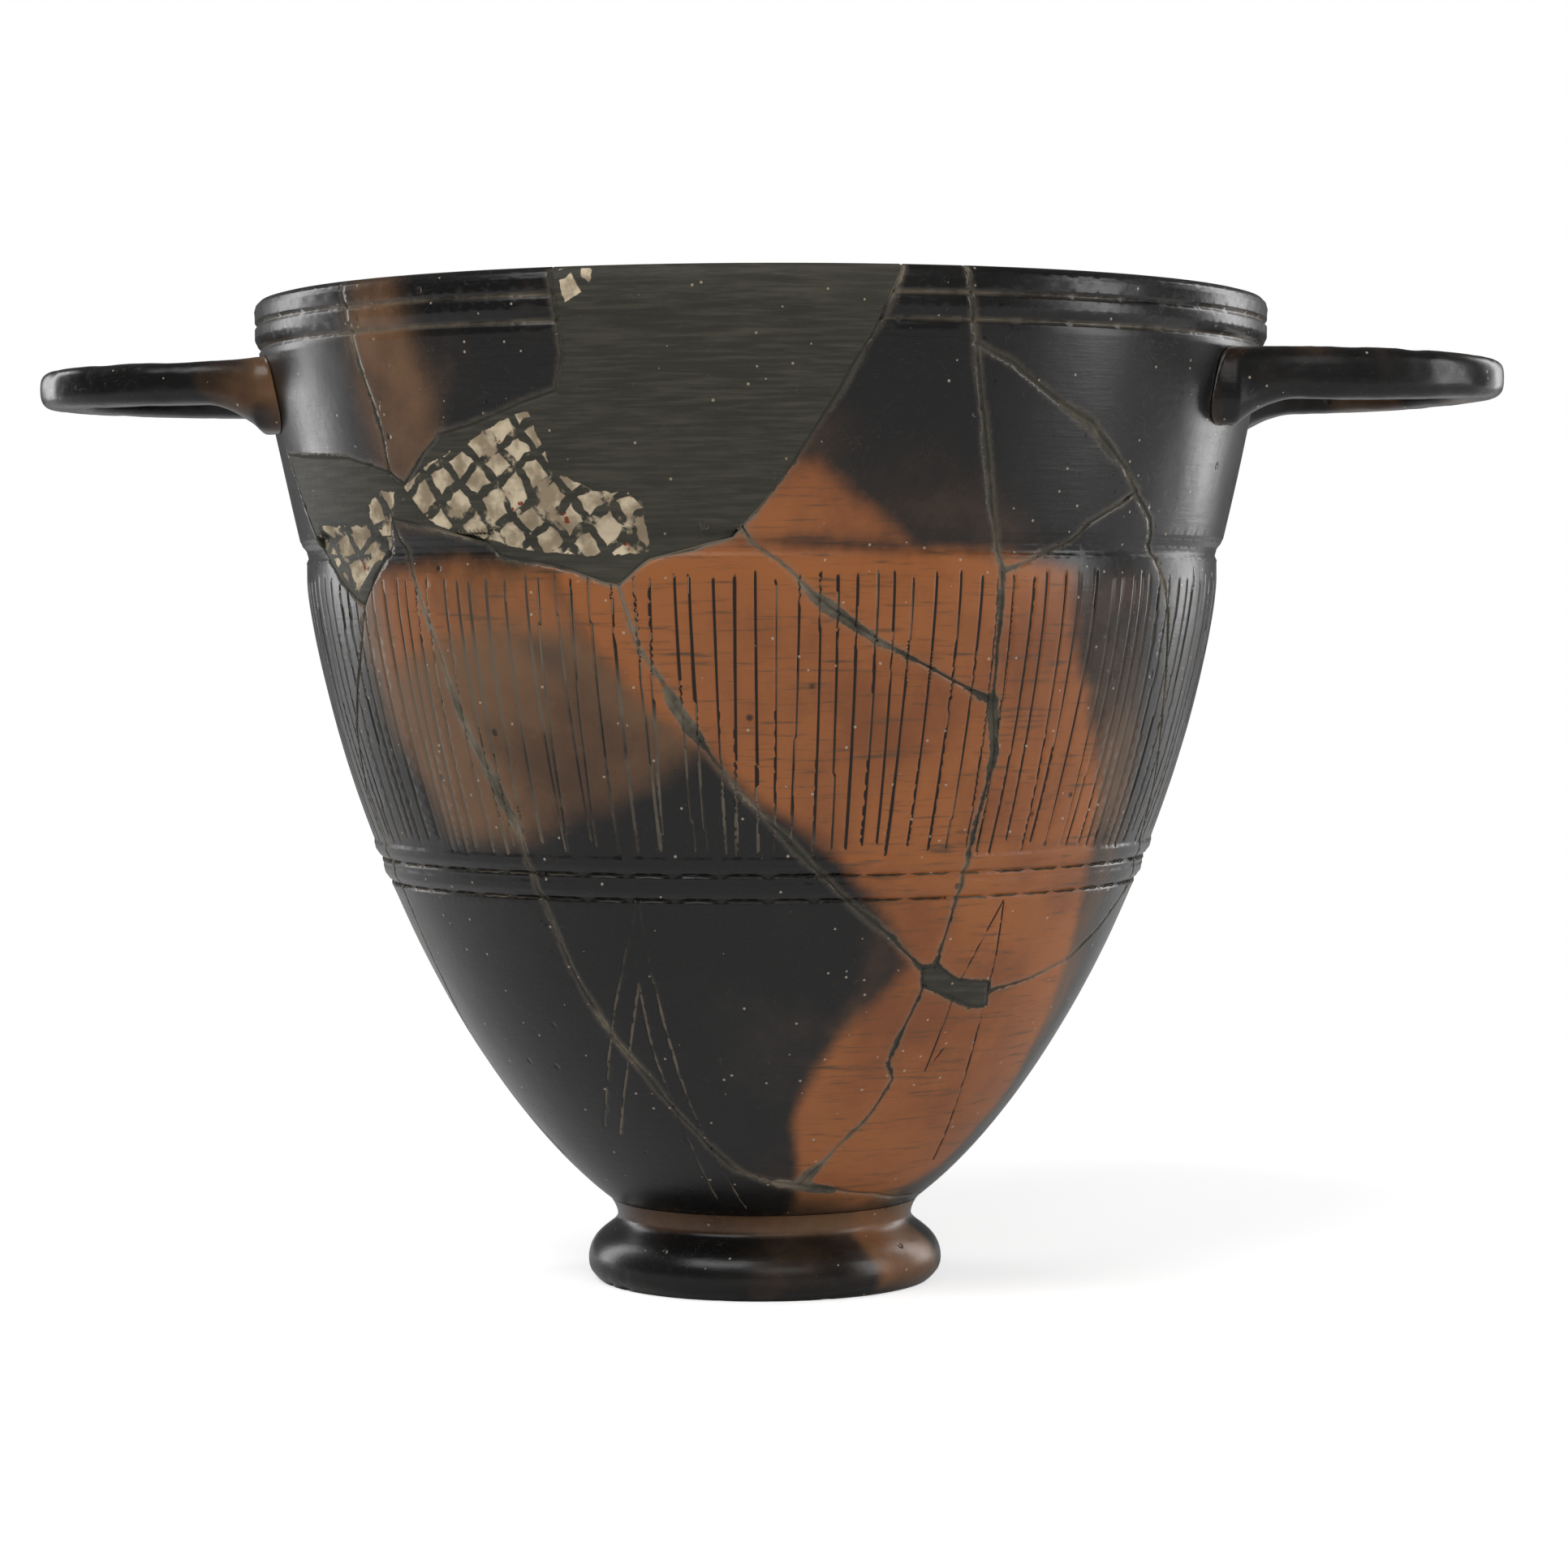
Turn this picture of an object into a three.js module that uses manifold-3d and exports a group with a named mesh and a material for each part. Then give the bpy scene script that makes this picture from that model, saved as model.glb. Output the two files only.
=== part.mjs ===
// A bucchero skyphos: a deep drinking cup on a ring foot, with two horizontal loop handles.
// It broke into large sherds and was put together again with plaster in two places.
// Millimetres, +Z up. The origin is on the ground under the middle of the foot, and +X points
// along the line through both handles. Angles on the wall are degrees, counter-clockwise from +X.

import * as THREE from "three";
import { mergeVertices } from "three/addons/utils/BufferGeometryUtils.js";
import Module from "manifold-3d";

const wasm = await Module();
wasm.setup();

// The cup as a whole
const cupHeight = 150;
const rimRadius = 77.4;
const rimThickness = 3.6;
const lowerWallThickness = 5.2;
const floorThickness = 5;

// Lip: the outside is upright over this height, and the edge is rounded over to the inside
const lipHeight = 6;
const lipRounding = 1.7;
const lipRelief = 0.3;

// How far the plain wall's curve is pulled out and up, as shares of its width and height
const plainWallPull = { out: 0.54, up: 0.48 };

// Two thin lines incised under the lip, measured down from the edge
const rimLineDrops = [3.8, 7.4];
const rimLineWidth = 1.1;
const rimLineDepth = 0.45;

// Overhanging step between the plain upper wall and the grooved band
const stepHeight = 113.8;
const stepOverhang = 1.05;
const stepCoveHeight = 3.6;

// Cove under the step: [how far out of the shoulder, share of the cove's height below the lip]
const stepCove = [
  [0.1, 1],
  [-0.25, 0.75],
  [0, 0.48],
  [0.7, 0.2],
];

// Ovoid body below the step
const shoulderHeight = 107.4;
const shoulderRadius = 69.8;
const bodyFullness = 1.357;

// Two low mouldings under the grooved band: a rounded ridge with a groove along its lower edge
const mouldingGrooveHeights = [62, 65.6];
const mouldingWidth = 3.1;
const mouldingRelief = 0.36;

// Section of one moulding: [rise in shares of its width, relief in shares of the whole relief]
const mouldingSection = [
  [-0.16, 0.2],
  [0, -1],
  [0.16, 0.3],
  [0.42, 1],
  [0.68, 0.7],
  [0.92, 0.05],
];

// Ring foot, luted under the body
const footHeight = 12.6;
const footJointRadius = 23.8;
const footWaistHeight = 10;
const footWaistRadius = 22.75;
const footRadius = 27.35;
const footWidestHeight = 3;
const standingRadius = 25.6;
const footHollowRadius = 19.4;
const footHollowDepth = 6;
const footFlarePull = { waist: 2, widest: 4.6 };
const footFlareStations = 6;
const seatDish = 3.2;

// Underside of the foot: [share of the hollow's radius, share of its depth]
const footHollowSection = [
  [0, 1],
  [0.5, 0.94],
  [0.82, 0.62],
  [1, 0],
];

// Bevel under the foot's widest part: [share of the way out, share of the way up]
const footBevel = [
  [0.35, 0.23],
  [0.8, 0.5],
];

// Loop handles, luted to the upper wall
const handleReach = 113;
const handleLevel = 137.5;
const handleSpread = 23.3;
const gripWidth = 7.5;
const gripHeights = { right: 7.9, left: 6.6 };
const gripTipHeight = 6.1;
const handleRootHeight = 11.8;
const handleRootWidth = 13.2;
const handleRootDrop = 2;
const handleRootLength = 9;
const gripSquareness = 3.2;

// Joints: the width of a fracture, and the slip between luted parts
const fractureWidth = 0.35;
const seatClearance = 0.3;
const mitreLimit = 2;

// Span over which the slope of the wall is measured, and the distance at which points are merged
const slopeSpan = 0.5;
const mergeDistance = 1e-4;

// Facets
const wallFacets = 54;
const footFacets = 48;
const gripFacets = 12;
const handleStations = 28;
const bodyStations = 11;
const innerStations = 7;
const plainWallStations = 3;

// How far a fracture surface is carried past the two faces of the wall
const cutOutside = 5;
const cutInside = 6;

// Clay and plaster
const blackClay = { color: 0x1d1b1a, roughness: 0.38, metalness: 0 };
const brownClay = { color: 0x4a3020, roughness: 0.45, metalness: 0 };
const orangeClay = { color: 0x9a4f22, roughness: 0.5, metalness: 0 };
const greyPlaster = { color: 0x35332a, roughness: 0.85, metalness: 0 };

// Turns a three.js geometry into a solid
function solidFrom(geometry) {
  const bare = geometry.clone();
  bare.deleteAttribute("normal");
  bare.deleteAttribute("uv");
  const merged = mergeVertices(bare, mergeDistance);
  return new wasm.Manifold(
    new wasm.Mesh({
      numProp: 3,
      vertProperties: merged.attributes.position.array,
      triVerts: new Uint32Array(merged.index.array),
    }),
  );
}

// Turns a solid into a named mesh
function meshFrom(name, solid, finish) {
  const { vertProperties, triVerts } = solid.getMesh();
  const geometry = new THREE.BufferGeometry();
  geometry.setAttribute("position", new THREE.BufferAttribute(new Float32Array(vertProperties), 3));
  geometry.setIndex(new THREE.BufferAttribute(new Uint32Array(triVerts), 1));
  const faceted = geometry.toNonIndexed();
  faceted.computeVertexNormals();
  const mesh = new THREE.Mesh(faceted, new THREE.MeshStandardMaterial(finish));
  mesh.name = name;
  return mesh;
}

// Solid of revolution about +Z from an outline of (radius, height) points that starts and ends on the axis
function revolved(outline, facets = wallFacets) {
  const geometry = new THREE.LatheGeometry(outline, facets);
  geometry.rotateX(Math.PI / 2);
  return solidFrom(geometry);
}

// Closed strip of rings, each an array of as many Vector3 points. The two halves of a ring get facing
// diagonals, so that a thin strip keeps its thickness where it twists.
function lofted(rings, closed) {
  const positions = rings.flat().flatMap((point) => point.toArray());
  const count = rings[0].length;
  const index = [];
  const lastRing = closed ? rings.length : rings.length - 1;
  for (let i = 0; i < lastRing; i++) {
    const here = i * count;
    const next = ((i + 1) % rings.length) * count;
    for (let j = 0; j < count; j++) {
      const k = (j + 1) % count;
      if (j < count / 2) index.push(here + j, next + k, here + k, here + j, next + j, next + k);
      else index.push(here + j, next + j, here + k, here + k, next + j, next + k);
    }
  }
  if (!closed) {
    const end = (rings.length - 1) * count;
    for (let j = 1; j < count - 1; j++) {
      index.push(0, j, j + 1);
      index.push(end, end + j + 1, end + j);
    }
  }
  const geometry = new THREE.BufferGeometry();
  geometry.setAttribute("position", new THREE.Float32BufferAttribute(positions, 3));
  geometry.setIndex(index);
  return solidFrom(geometry);
}

// Depth of the ovoid curve, set so that the body meets the foot at its joint radius
const jointShare = 1 - (footJointRadius / shoulderRadius) ** 2;
const bodyDepth = (shoulderHeight - footHeight) / jointShare ** (1 / bodyFullness);

// Outer radius of the ovoid body at a height
function bodyRadius(height) {
  const drop = THREE.MathUtils.clamp((shoulderHeight - height) / bodyDepth, 0, 1);
  return shoulderRadius * Math.sqrt(1 - drop ** bodyFullness);
}

// The plain upper wall flares from the step to the lip, a little faster near the step
const plainWall = new THREE.QuadraticBezierCurve(
  new THREE.Vector2(shoulderRadius + stepOverhang, stepHeight),
  new THREE.Vector2(
    THREE.MathUtils.lerp(shoulderRadius + stepOverhang, rimRadius, plainWallPull.out),
    THREE.MathUtils.lerp(stepHeight, cupHeight - lipHeight, plainWallPull.up),
  ),
  new THREE.Vector2(rimRadius - lipRelief, cupHeight - lipHeight),
);

// Outer radius above the step
function upperRadius(height) {
  const share = (height - stepHeight) / (cupHeight - lipHeight - stepHeight);
  return share > 1 ? rimRadius : plainWall.getPoint(Math.max(share, 0)).x;
}

// Outer radius of the whole wall at a height, without its incised and moulded lines
function wallRadius(height) {
  return height < stepHeight ? bodyRadius(height) : upperRadius(height);
}

// Unit normal of the wall in the (radius, height) plane, pointing out, measured on one side of the step
function wallNormal(height) {
  const radiusAt = height < stepHeight ? bodyRadius : upperRadius;
  const slope = (radiusAt(height + slopeSpan) - radiusAt(height - slopeSpan)) / (2 * slopeSpan);
  return new THREE.Vector2(1, -slope).normalize();
}

// Wall thickness grows from the rim down to the foot
function wallThickness(height) {
  return THREE.MathUtils.lerp(lowerWallThickness, rimThickness, height / cupHeight);
}

// Outline of the two mouldings and the body below the step
function bodyOutline(decorated) {
  const heights = [];
  for (let i = 0; i <= bodyStations; i++) {
    heights.push(THREE.MathUtils.lerp(footHeight, shoulderHeight, i / bodyStations));
  }
  const lowest = mouldingGrooveHeights[0] - mouldingWidth / 2;
  const highest = mouldingGrooveHeights[1] + mouldingWidth * 1.5;
  const plain = heights.map((height) => new THREE.Vector2(bodyRadius(height), height));
  if (!decorated) return plain;
  const mouldings = mouldingGrooveHeights.flatMap((groove) =>
    mouldingSection.map(([rise, relief]) => {
      const height = groove + rise * mouldingWidth;
      return new THREE.Vector2(bodyRadius(height) + relief * mouldingRelief, height);
    }),
  );
  const below = plain.filter((point) => point.y < lowest);
  const above = plain.filter((point) => point.y > highest);
  return [...below, ...mouldings, ...above];
}

// Outline of the step: a cove that undercuts the plain wall
function stepOutline() {
  return stepCove.map(
    ([out, share]) => new THREE.Vector2(shoulderRadius + out, stepHeight - share * stepCoveHeight),
  );
}

// Outline of the plain wall and its lip, up to the edge
function upperOutline(decorated) {
  const points = plainWall.getPoints(plainWallStations);
  const lines = rimLineDrops.flatMap((drop) =>
    [-0.5, 0, 0.5].map((share) => {
      const height = cupHeight - drop - share * rimLineWidth;
      const depth = share === 0 ? rimLineDepth : 0;
      return new THREE.Vector2(wallRadius(height) - depth, height);
    }),
  );
  const upperWall = decorated ? [...points.slice(0, -1), ...lines] : points;
  upperWall.sort((a, b) => a.y - b.y);
  const edge = [0, 30, 60, 90].map((turn) => {
    const angle = THREE.MathUtils.degToRad(turn);
    return new THREE.Vector2(
      rimRadius - lipRounding * (1 - Math.cos(angle)),
      cupHeight - lipRounding * (1 - Math.sin(angle)),
    );
  });
  return [...upperWall, ...edge];
}

// Inner face of the wall, from the edge down to the floor on the axis
function innerOutline() {
  const innerRounding = rimThickness - lipRounding;
  const innerEdge = [60, 30].map((turn) => {
    const angle = THREE.MathUtils.degToRad(turn);
    return new THREE.Vector2(
      rimRadius - lipRounding - innerRounding * Math.cos(angle),
      cupHeight - innerRounding * (1 - Math.sin(angle)),
    );
  });
  const heights = [cupHeight - innerRounding, stepHeight];
  for (let i = innerStations - 1; i >= 0; i--) {
    heights.push(THREE.MathUtils.lerp(footHeight, shoulderHeight, i / innerStations));
  }
  const wall = heights.map((height) => {
    const depth = wallThickness(height);
    const normal = wallNormal(height);
    return new THREE.Vector2(wallRadius(height) - depth * normal.x, height - depth * normal.y);
  });
  const foot = wall.at(-1);
  const floorHeight = footHeight - seatDish + floorThickness;
  const floor = [0.66, 0.33, 0].map(
    (share) => new THREE.Vector2(foot.x * share, THREE.MathUtils.lerp(floorHeight, foot.y, share ** 2)),
  );
  return [...innerEdge, ...wall, ...floor];
}

// Underside of the body, a shallow dish that sits in the foot
function dishOutline(clearance) {
  return [0, 0.5, 1].map(
    (share) =>
      new THREE.Vector2(
        footJointRadius * share,
        footHeight - seatDish * (1 - share ** 2) - clearance,
      ),
  );
}

// The whole bowl before it broke, with its moulded lines or smooth as the plaster is
function bowl(decorated) {
  return revolved([
    ...dishOutline(0).slice(0, -1),
    ...bodyOutline(decorated),
    ...(decorated ? stepOutline() : []),
    ...upperOutline(decorated),
    ...innerOutline(),
  ]);
}

// Point on the wall's outer face, with its normal. A level is a height in hundredths of the cup's height.
function onWall([degrees, level]) {
  const angle = THREE.MathUtils.degToRad(degrees);
  const height = (level / 100) * cupHeight;
  const radius = wallRadius(height);
  const { x: out, y: up } = wallNormal(height);
  return {
    point: new THREE.Vector3(radius * Math.cos(angle), radius * Math.sin(angle), height),
    normal: new THREE.Vector3(out * Math.cos(angle), out * Math.sin(angle), up),
  };
}

// A fracture surface: a thin blade that goes square through the wall along a route of [angle, level] points,
// and runs a little past both ends, so that it meets the fractures it branches from
function fracture(route, closed = false) {
  const spots = route.map(onWall);
  const count = spots.length;
  const rings = spots.map(({ point, normal }, i) => {
    const before = spots[closed ? (i + count - 1) % count : Math.max(i - 1, 0)].point;
    const after = spots[closed ? (i + 1) % count : Math.min(i + 1, count - 1)].point;
    const arriving = (before === point ? after.clone().sub(point) : point.clone().sub(before)).normalize();
    const leaving = (after === point ? arriving.clone() : after.clone().sub(point)).normalize();
    const along = arriving.clone().add(leaving).normalize();
    const mitre = Math.min(1 / along.dot(leaving), mitreLimit);
    const side = new THREE.Vector3()
      .crossVectors(normal, along)
      .normalize()
      .multiplyScalar((fractureWidth * mitre) / 2);
    const overrun = closed ? 0 : fractureWidth * ((i === count - 1) - (i === 0));
    const spot = point.clone().addScaledVector(along, overrun);
    const outer = spot.clone().addScaledVector(normal, cutOutside);
    const inner = spot.clone().addScaledVector(normal, -lowerWallThickness - cutInside);
    return [
      outer.clone().sub(side),
      outer.clone().add(side),
      inner.clone().add(side),
      inner.clone().sub(side),
    ];
  });
  return lofted(rings, closed);
}

// Places where fractures meet, as [angle, level]
const fillNeck = [-131.8, 77.5];
const fillPeak = [-130.6, 81.8];
const fillCorner = [-157, 84.3];
const fillLowPoint = [-100.5, 70.9];
const fillRightFoot = [-86.2, 76.3];
const triangleTop = [-61.2, 92.9];
const triangleTip = [-36.4, 79.8];
const triangleFoot = [-55.2, 72.2];
const centreMeeting = [-55, 60.1];
const flankMeeting = [-9.4, 40.4];
const baseMeeting = [-74.3, 11.9];
const backMeeting = [172, 22.2];
const overRim = 101.5;

// Fractures seen from the front, then their courses round the back
const fractureRoutes = {
  leftRim: [[-134.9, overRim], [-133.6, 96.5], [-132.9, 92.7], [-131.4, 88.3], [-130.7, 85.8], fillPeak],
  fillTop: [
    [-106.3, overRim],
    [-105.4, 96.5],
    [-105, 92],
    [-106.1, 88.8],
    [-110.6, 87.7],
    [-116, 86.1],
    [-121.8, 85.1],
    [-124.7, 83.3],
    [-128.4, 80.6],
    fillPeak,
    [-138, 83.3],
    [-147, 83.7],
    fillCorner,
  ],
  fillBottom: [
    [-68.6, overRim],
    [-72.2, 94.4],
    [-74.6, 90.8],
    [-79.6, 83.5],
    [-83.9, 78.4],
    fillRightFoot,
    [-90.3, 74.7],
    [-96.9, 73.3],
    fillLowPoint,
    [-106.7, 72.4],
    [-115.3, 73.7],
    [-124.1, 76.4],
    fillNeck,
    [-134.8, 73.6],
    [-139.9, 69.3],
    [-146, 71.7],
    [-151.6, 74.6],
    [-154.4, 79.4],
    fillCorner,
  ],
  longDiagonal: [
    fillNeck,
    [-128.7, 70.4],
    [-126.2, 64.5],
    [-124.8, 58.9],
    [-121.5, 52.7],
    [-119, 47.3],
    [-116.9, 39],
    [-115.7, 34.2],
    [-112, 28.2],
    [-106.6, 23.3],
    [-99.1, 17.6],
    [-91.8, 13.9],
    [-83, 12.4],
    baseMeeting,
    [-63, 11.2],
    [-47.5, 10.3],
    [-19.6, 9.3],
  ],
  centreDiagonal: [
    fillLowPoint,
    [-98.7, 65.4],
    [-96, 62.1],
    [-89.1, 53.7],
    [-81.4, 47.6],
    [-73.9, 42.5],
    [-64.5, 37.6],
    [-58.3, 34.3],
  ],
  friezeTop: [fillRightFoot, [-82.1, 73.1], [-77.9, 69.8], [-70.2, 65.7], [-63.5, 63.1], centreMeeting],
  longVertical: [
    [-62.9, overRim],
    [-61.7, 94.6],
    triangleTop,
    [-59.5, 85.8],
    [-58, 79.9],
    [-56.1, 74.7],
    triangleFoot,
    [-55.2, 65.7],
    centreMeeting,
    [-53.6, 55],
    [-54.5, 48.8],
    [-55.3, 41],
    [-56.1, 34.4],
  ],
  lowVertical: [
    [-57.3, 32.6],
    [-59.4, 27.7],
    [-60.3, 24.8],
    [-58.3, 23.1],
    [-60.6, 19.8],
    [-66.7, 16],
    [-72, 13.2],
    baseMeeting,
  ],
  triangleUpper: [
    triangleTop,
    [-56.6, 91.2],
    [-51, 88.2],
    [-45.4, 86.1],
    [-39.3, 82.1],
    triangleTip,
    [-32.6, 77.2],
    [-28, 72],
    [-25.2, 68],
    [-21.5, 60],
    [-16, 51],
    flankMeeting,
  ],
  triangleLower: [triangleTip, [-43.7, 76.7], [-50.2, 73.6], triangleFoot],
  rightFlank: [
    [-43.4, 31.6],
    [-33.2, 32.7],
    [-23.8, 34.3],
    [-15.6, 37.5],
    flankMeeting,
    [-1, 42.8],
    [12, 42],
    [26, 40.5],
    [40, 42],
    [56, 39],
    [73, 39.8],
    [90, 36.4],
    [107, 37],
    [124, 33],
    [141, 31.5],
    [158, 27.4],
    backMeeting,
  ],
  leftFlank: [
    [-139.9, 69.3],
    [-142.8, 65],
    [-146.7, 61],
    [-150.7, 57],
    [-155, 51],
    [-155.6, 40.5],
    [-157.7, 31.7],
    [-162, 26.5],
    [-174, 24.1],
    backMeeting,
    [150, 20],
    [127, 17.8],
    [102, 15.9],
    [75, 14],
    [47, 12],
    [15, 10.4],
    [-19.6, 9.3],
  ],
};

// Outline of the small squared patch where four fractures meet
const junctionOutline = [
  [-58.4, 34.4],
  [-55.6, 34.5],
  [-51.7, 33],
  [-44.3, 32.5],
  [-42.8, 30.2],
  [-46.4, 30.2],
  [-52.1, 31.4],
  [-57.5, 32.5],
];

// Every sherd and fill, found by a point [angle, level] inside it
const sherds = {
  rim_sherd_left: { seed: [-118, 93], finish: blackClay },
  rim_sherd_centre: { seed: [-70, 85], finish: blackClay },
  shoulder_sherd_triangle: { seed: [-51, 80], finish: blackClay },
  handle_zone_sherd: { seed: [90, 70], finish: blackClay },
  frieze_sherd_centre: { seed: [-72, 55], finish: orangeClay },
  frieze_sherd_right: { seed: [-40, 55], finish: orangeClay },
  body_sherd_front: { seed: [-100, 45], finish: brownClay },
  base_sherd_left: { seed: [-140, 45], finish: blackClay },
  lower_sherd_right: { seed: [-30, 25], finish: orangeClay },
};
const fills = {
  plaster_fill_large: { seed: [-92, 88], finish: greyPlaster },
  plaster_fill_junction: { seed: [-50, 31.9], finish: greyPlaster },
};

// A bead in the middle of the wall at a seed, that touches only the piece it belongs to
function seedBead(seed) {
  const { point, normal } = onWall(seed);
  const middle = point.addScaledVector(normal, -rimThickness / 2);
  const bead = new THREE.BoxGeometry(seatClearance, seatClearance, seatClearance);
  bead.translate(middle.x, middle.y, middle.z);
  return solidFrom(bead);
}

// Picks the named pieces out of a broken bowl
function pickPieces(pieces, wanted) {
  return Object.entries(wanted).map(([name, { seed, finish }]) => {
    const bead = seedBead(seed);
    const piece = pieces.find((candidate) => candidate.intersect(bead).volume() > 0);
    return meshFrom(name, piece, finish);
  });
}

// Breaks a bowl along every fracture
function broken(whole) {
  const blades = Object.values(fractureRoutes).map((route) => fracture(route));
  blades.push(fracture(junctionOutline, true));
  return blades.reduce((rest, blade) => rest.subtract(blade), whole).decompose();
}

// Outline of the foot: a cupped top, a waist, a flare to the widest part, and a hollow underneath
function footOutline() {
  const top = dishOutline(seatClearance);
  const flare = new THREE.CubicBezierCurve(
    new THREE.Vector2(footWaistRadius, footWaistHeight),
    new THREE.Vector2(footWaistRadius, footWaistHeight - footFlarePull.waist),
    new THREE.Vector2(footRadius, footWidestHeight + footFlarePull.widest),
    new THREE.Vector2(footRadius, footWidestHeight),
  );
  const hollow = footHollowSection.map(
    ([out, depth]) => new THREE.Vector2(footHollowRadius * out, footHollowDepth * depth),
  );
  const bevel = footBevel.map(
    ([out, up]) =>
      new THREE.Vector2(
        THREE.MathUtils.lerp(standingRadius, footRadius, out),
        footWidestHeight * up,
      ),
  );
  return [
    ...hollow,
    new THREE.Vector2(standingRadius, 0),
    ...bevel,
    ...flare.getPoints(footFlareStations).reverse(),
    ...top.reverse(),
  ];
}

// Ring of points round a handle's grip: a rounded rectangle across the path
function gripRing(centre, across, width, height) {
  const ring = [];
  for (let i = 0; i < gripFacets; i++) {
    const turn = ((i + 0.5) / gripFacets) * 2 * Math.PI;
    const [c, s] = [Math.cos(turn), Math.sin(turn)];
    const scale = (Math.abs(c) ** gripSquareness + Math.abs(s) ** gripSquareness) ** (-1 / gripSquareness);
    ring.push(
      centre
        .clone()
        .addScaledVector(across, (width / 2) * scale * c)
        .add(new THREE.Vector3(0, 0, (height / 2) * scale * s)),
    );
  }
  return ring;
}

// A loop handle on the +X side: half an ellipse in plan, whose two ends flare where they meet the wall
function handle(gripHeight) {
  const wallAtHandle = wallRadius(handleLevel);
  const rootX = Math.sqrt(wallAtHandle ** 2 - handleSpread ** 2) - rimThickness;
  const loopDepth = handleReach - gripWidth / 2 - rootX;
  const rings = [];
  for (let i = 0; i <= handleStations; i++) {
    const turn = THREE.MathUtils.lerp(-Math.PI / 2, Math.PI / 2, i / handleStations);
    const centre = new THREE.Vector3(
      rootX + loopDepth * Math.cos(turn),
      handleSpread * Math.sin(turn),
      handleLevel,
    );
    const across = new THREE.Vector3(
      handleSpread * Math.cos(turn),
      loopDepth * Math.sin(turn),
      0,
    ).normalize();
    const fromWall = Math.max(Math.hypot(centre.x, centre.y) - wallAtHandle, 0);
    const flare = Math.max(1 - fromWall / handleRootLength, 0) ** 2;
    const atTip = Math.cos(turn) ** 4;
    const width = THREE.MathUtils.lerp(gripWidth, handleRootWidth, flare);
    const armHeight = THREE.MathUtils.lerp(gripHeight, gripTipHeight, atTip);
    const height = THREE.MathUtils.lerp(armHeight, handleRootHeight, flare);
    centre.z -= handleRootDrop * flare;
    rings.push(gripRing(centre, across, width, height));
  }
  return lofted(rings, false).subtract(handleSeat());
}

// The room that the wall takes up where a handle is luted on, with the slip between them
function handleSeat() {
  const reach = handleRootHeight + handleRootDrop;
  const heights = [-1.5, -0.5, 0.5, 1.5].map((share) => handleLevel + share * reach);
  const face = heights.map((height) => new THREE.Vector2(wallRadius(height) + seatClearance, height));
  return revolved([
    new THREE.Vector2(0, heights[0]),
    ...face,
    new THREE.Vector2(0, heights.at(-1)),
  ]);
}

const skyphos = new THREE.Group();

const sherdGroup = new THREE.Group();
sherdGroup.add(...pickPieces(broken(bowl(true)), sherds));
sherdGroup.add(...pickPieces(broken(bowl(false)), fills));
skyphos.add(sherdGroup);

skyphos.add(meshFrom("foot", revolved(footOutline(), footFacets), blackClay));

skyphos.add(meshFrom("handle_right", handle(gripHeights.right), blackClay));
const leftHandle = meshFrom("handle_left", handle(gripHeights.left), blackClay);
leftHandle.rotation.z = Math.PI;
skyphos.add(leftHandle);

export default skyphos;
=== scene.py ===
"""A restored bucchero skyphos on a plain pale floor.

Every clay sherd, plaster fill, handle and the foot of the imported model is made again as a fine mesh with
its incised lines, mouldings, fractures and worn edges, and gets a procedural finish.
Lengths named in this file are millimetres and angles on the wall are degrees, counter-clockwise from +X.
"""

import logging
import math
import random
from dataclasses import dataclass, field
from enum import Enum
from functools import cached_property

import bmesh
import bpy
from mathutils import Matrix, Vector, noise
from mathutils.kdtree import KDTree

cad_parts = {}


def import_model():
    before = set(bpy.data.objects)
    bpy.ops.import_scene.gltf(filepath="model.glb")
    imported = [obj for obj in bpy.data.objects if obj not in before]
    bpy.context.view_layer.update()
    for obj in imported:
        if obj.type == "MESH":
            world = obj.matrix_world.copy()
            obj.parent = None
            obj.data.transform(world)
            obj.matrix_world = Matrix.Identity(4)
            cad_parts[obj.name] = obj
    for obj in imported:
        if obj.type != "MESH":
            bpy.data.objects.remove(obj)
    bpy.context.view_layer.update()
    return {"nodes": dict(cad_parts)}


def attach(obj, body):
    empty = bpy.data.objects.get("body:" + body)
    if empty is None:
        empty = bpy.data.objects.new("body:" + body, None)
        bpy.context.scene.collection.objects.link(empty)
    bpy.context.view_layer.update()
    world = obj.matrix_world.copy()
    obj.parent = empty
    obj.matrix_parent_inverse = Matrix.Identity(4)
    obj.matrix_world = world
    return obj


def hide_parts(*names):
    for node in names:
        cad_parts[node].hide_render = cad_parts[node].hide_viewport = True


MM = 0.001
WALL_SEED = 7
# Names of the values that the finishes read from a piece's points
POINT_VALUES = ("seam", "orange", "brown", "smudge", "flake", "smear", "lip_dust", "scored")
# Distance to a fracture, in millimetres, that stands for none being near
FAR_FROM_SEAM = 9.0
# Angle at the back above which the wall's angles are counted a full turn lower
BACK_ANGLE = 160.0
FULL_TURN = 360
# Height of the fine relief in the finishes, in metres
BUMP_DISTANCE = 0.0003
WHITE = (1, 1, 1, 1)
# A Mix node's sockets for the factor and two colours, and its mixed colour
COLOUR_MIX_INPUTS = (0, 6, 7)
COLOUR_MIX_RESULT = 2

log = logging.getLogger("skyphos")

Point2 = tuple[float, float]
Span = tuple[float, float]
Triple = tuple[float, float, float]
Colour = tuple[float, float, float, float]
Signal = bpy.types.NodeSocket | float | tuple
PointLayer = bmesh.types.BMLayerItem
FacesByDegree = dict[int, list[bmesh.types.BMFace]]


def smooth_step(value: float, low: float, high: float) -> float:
    """Eases a value from 0 at low to 1 at high.

    Args:
        value: the value to ease.
        low: where the result is 0.
        high: where the result is 1.

    Returns:
        A number from 0 to 1.
    """
    share = min(max((value - low) / (high - low), 0.0), 1.0)
    return share * share * (3 - 2 * share)


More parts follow.
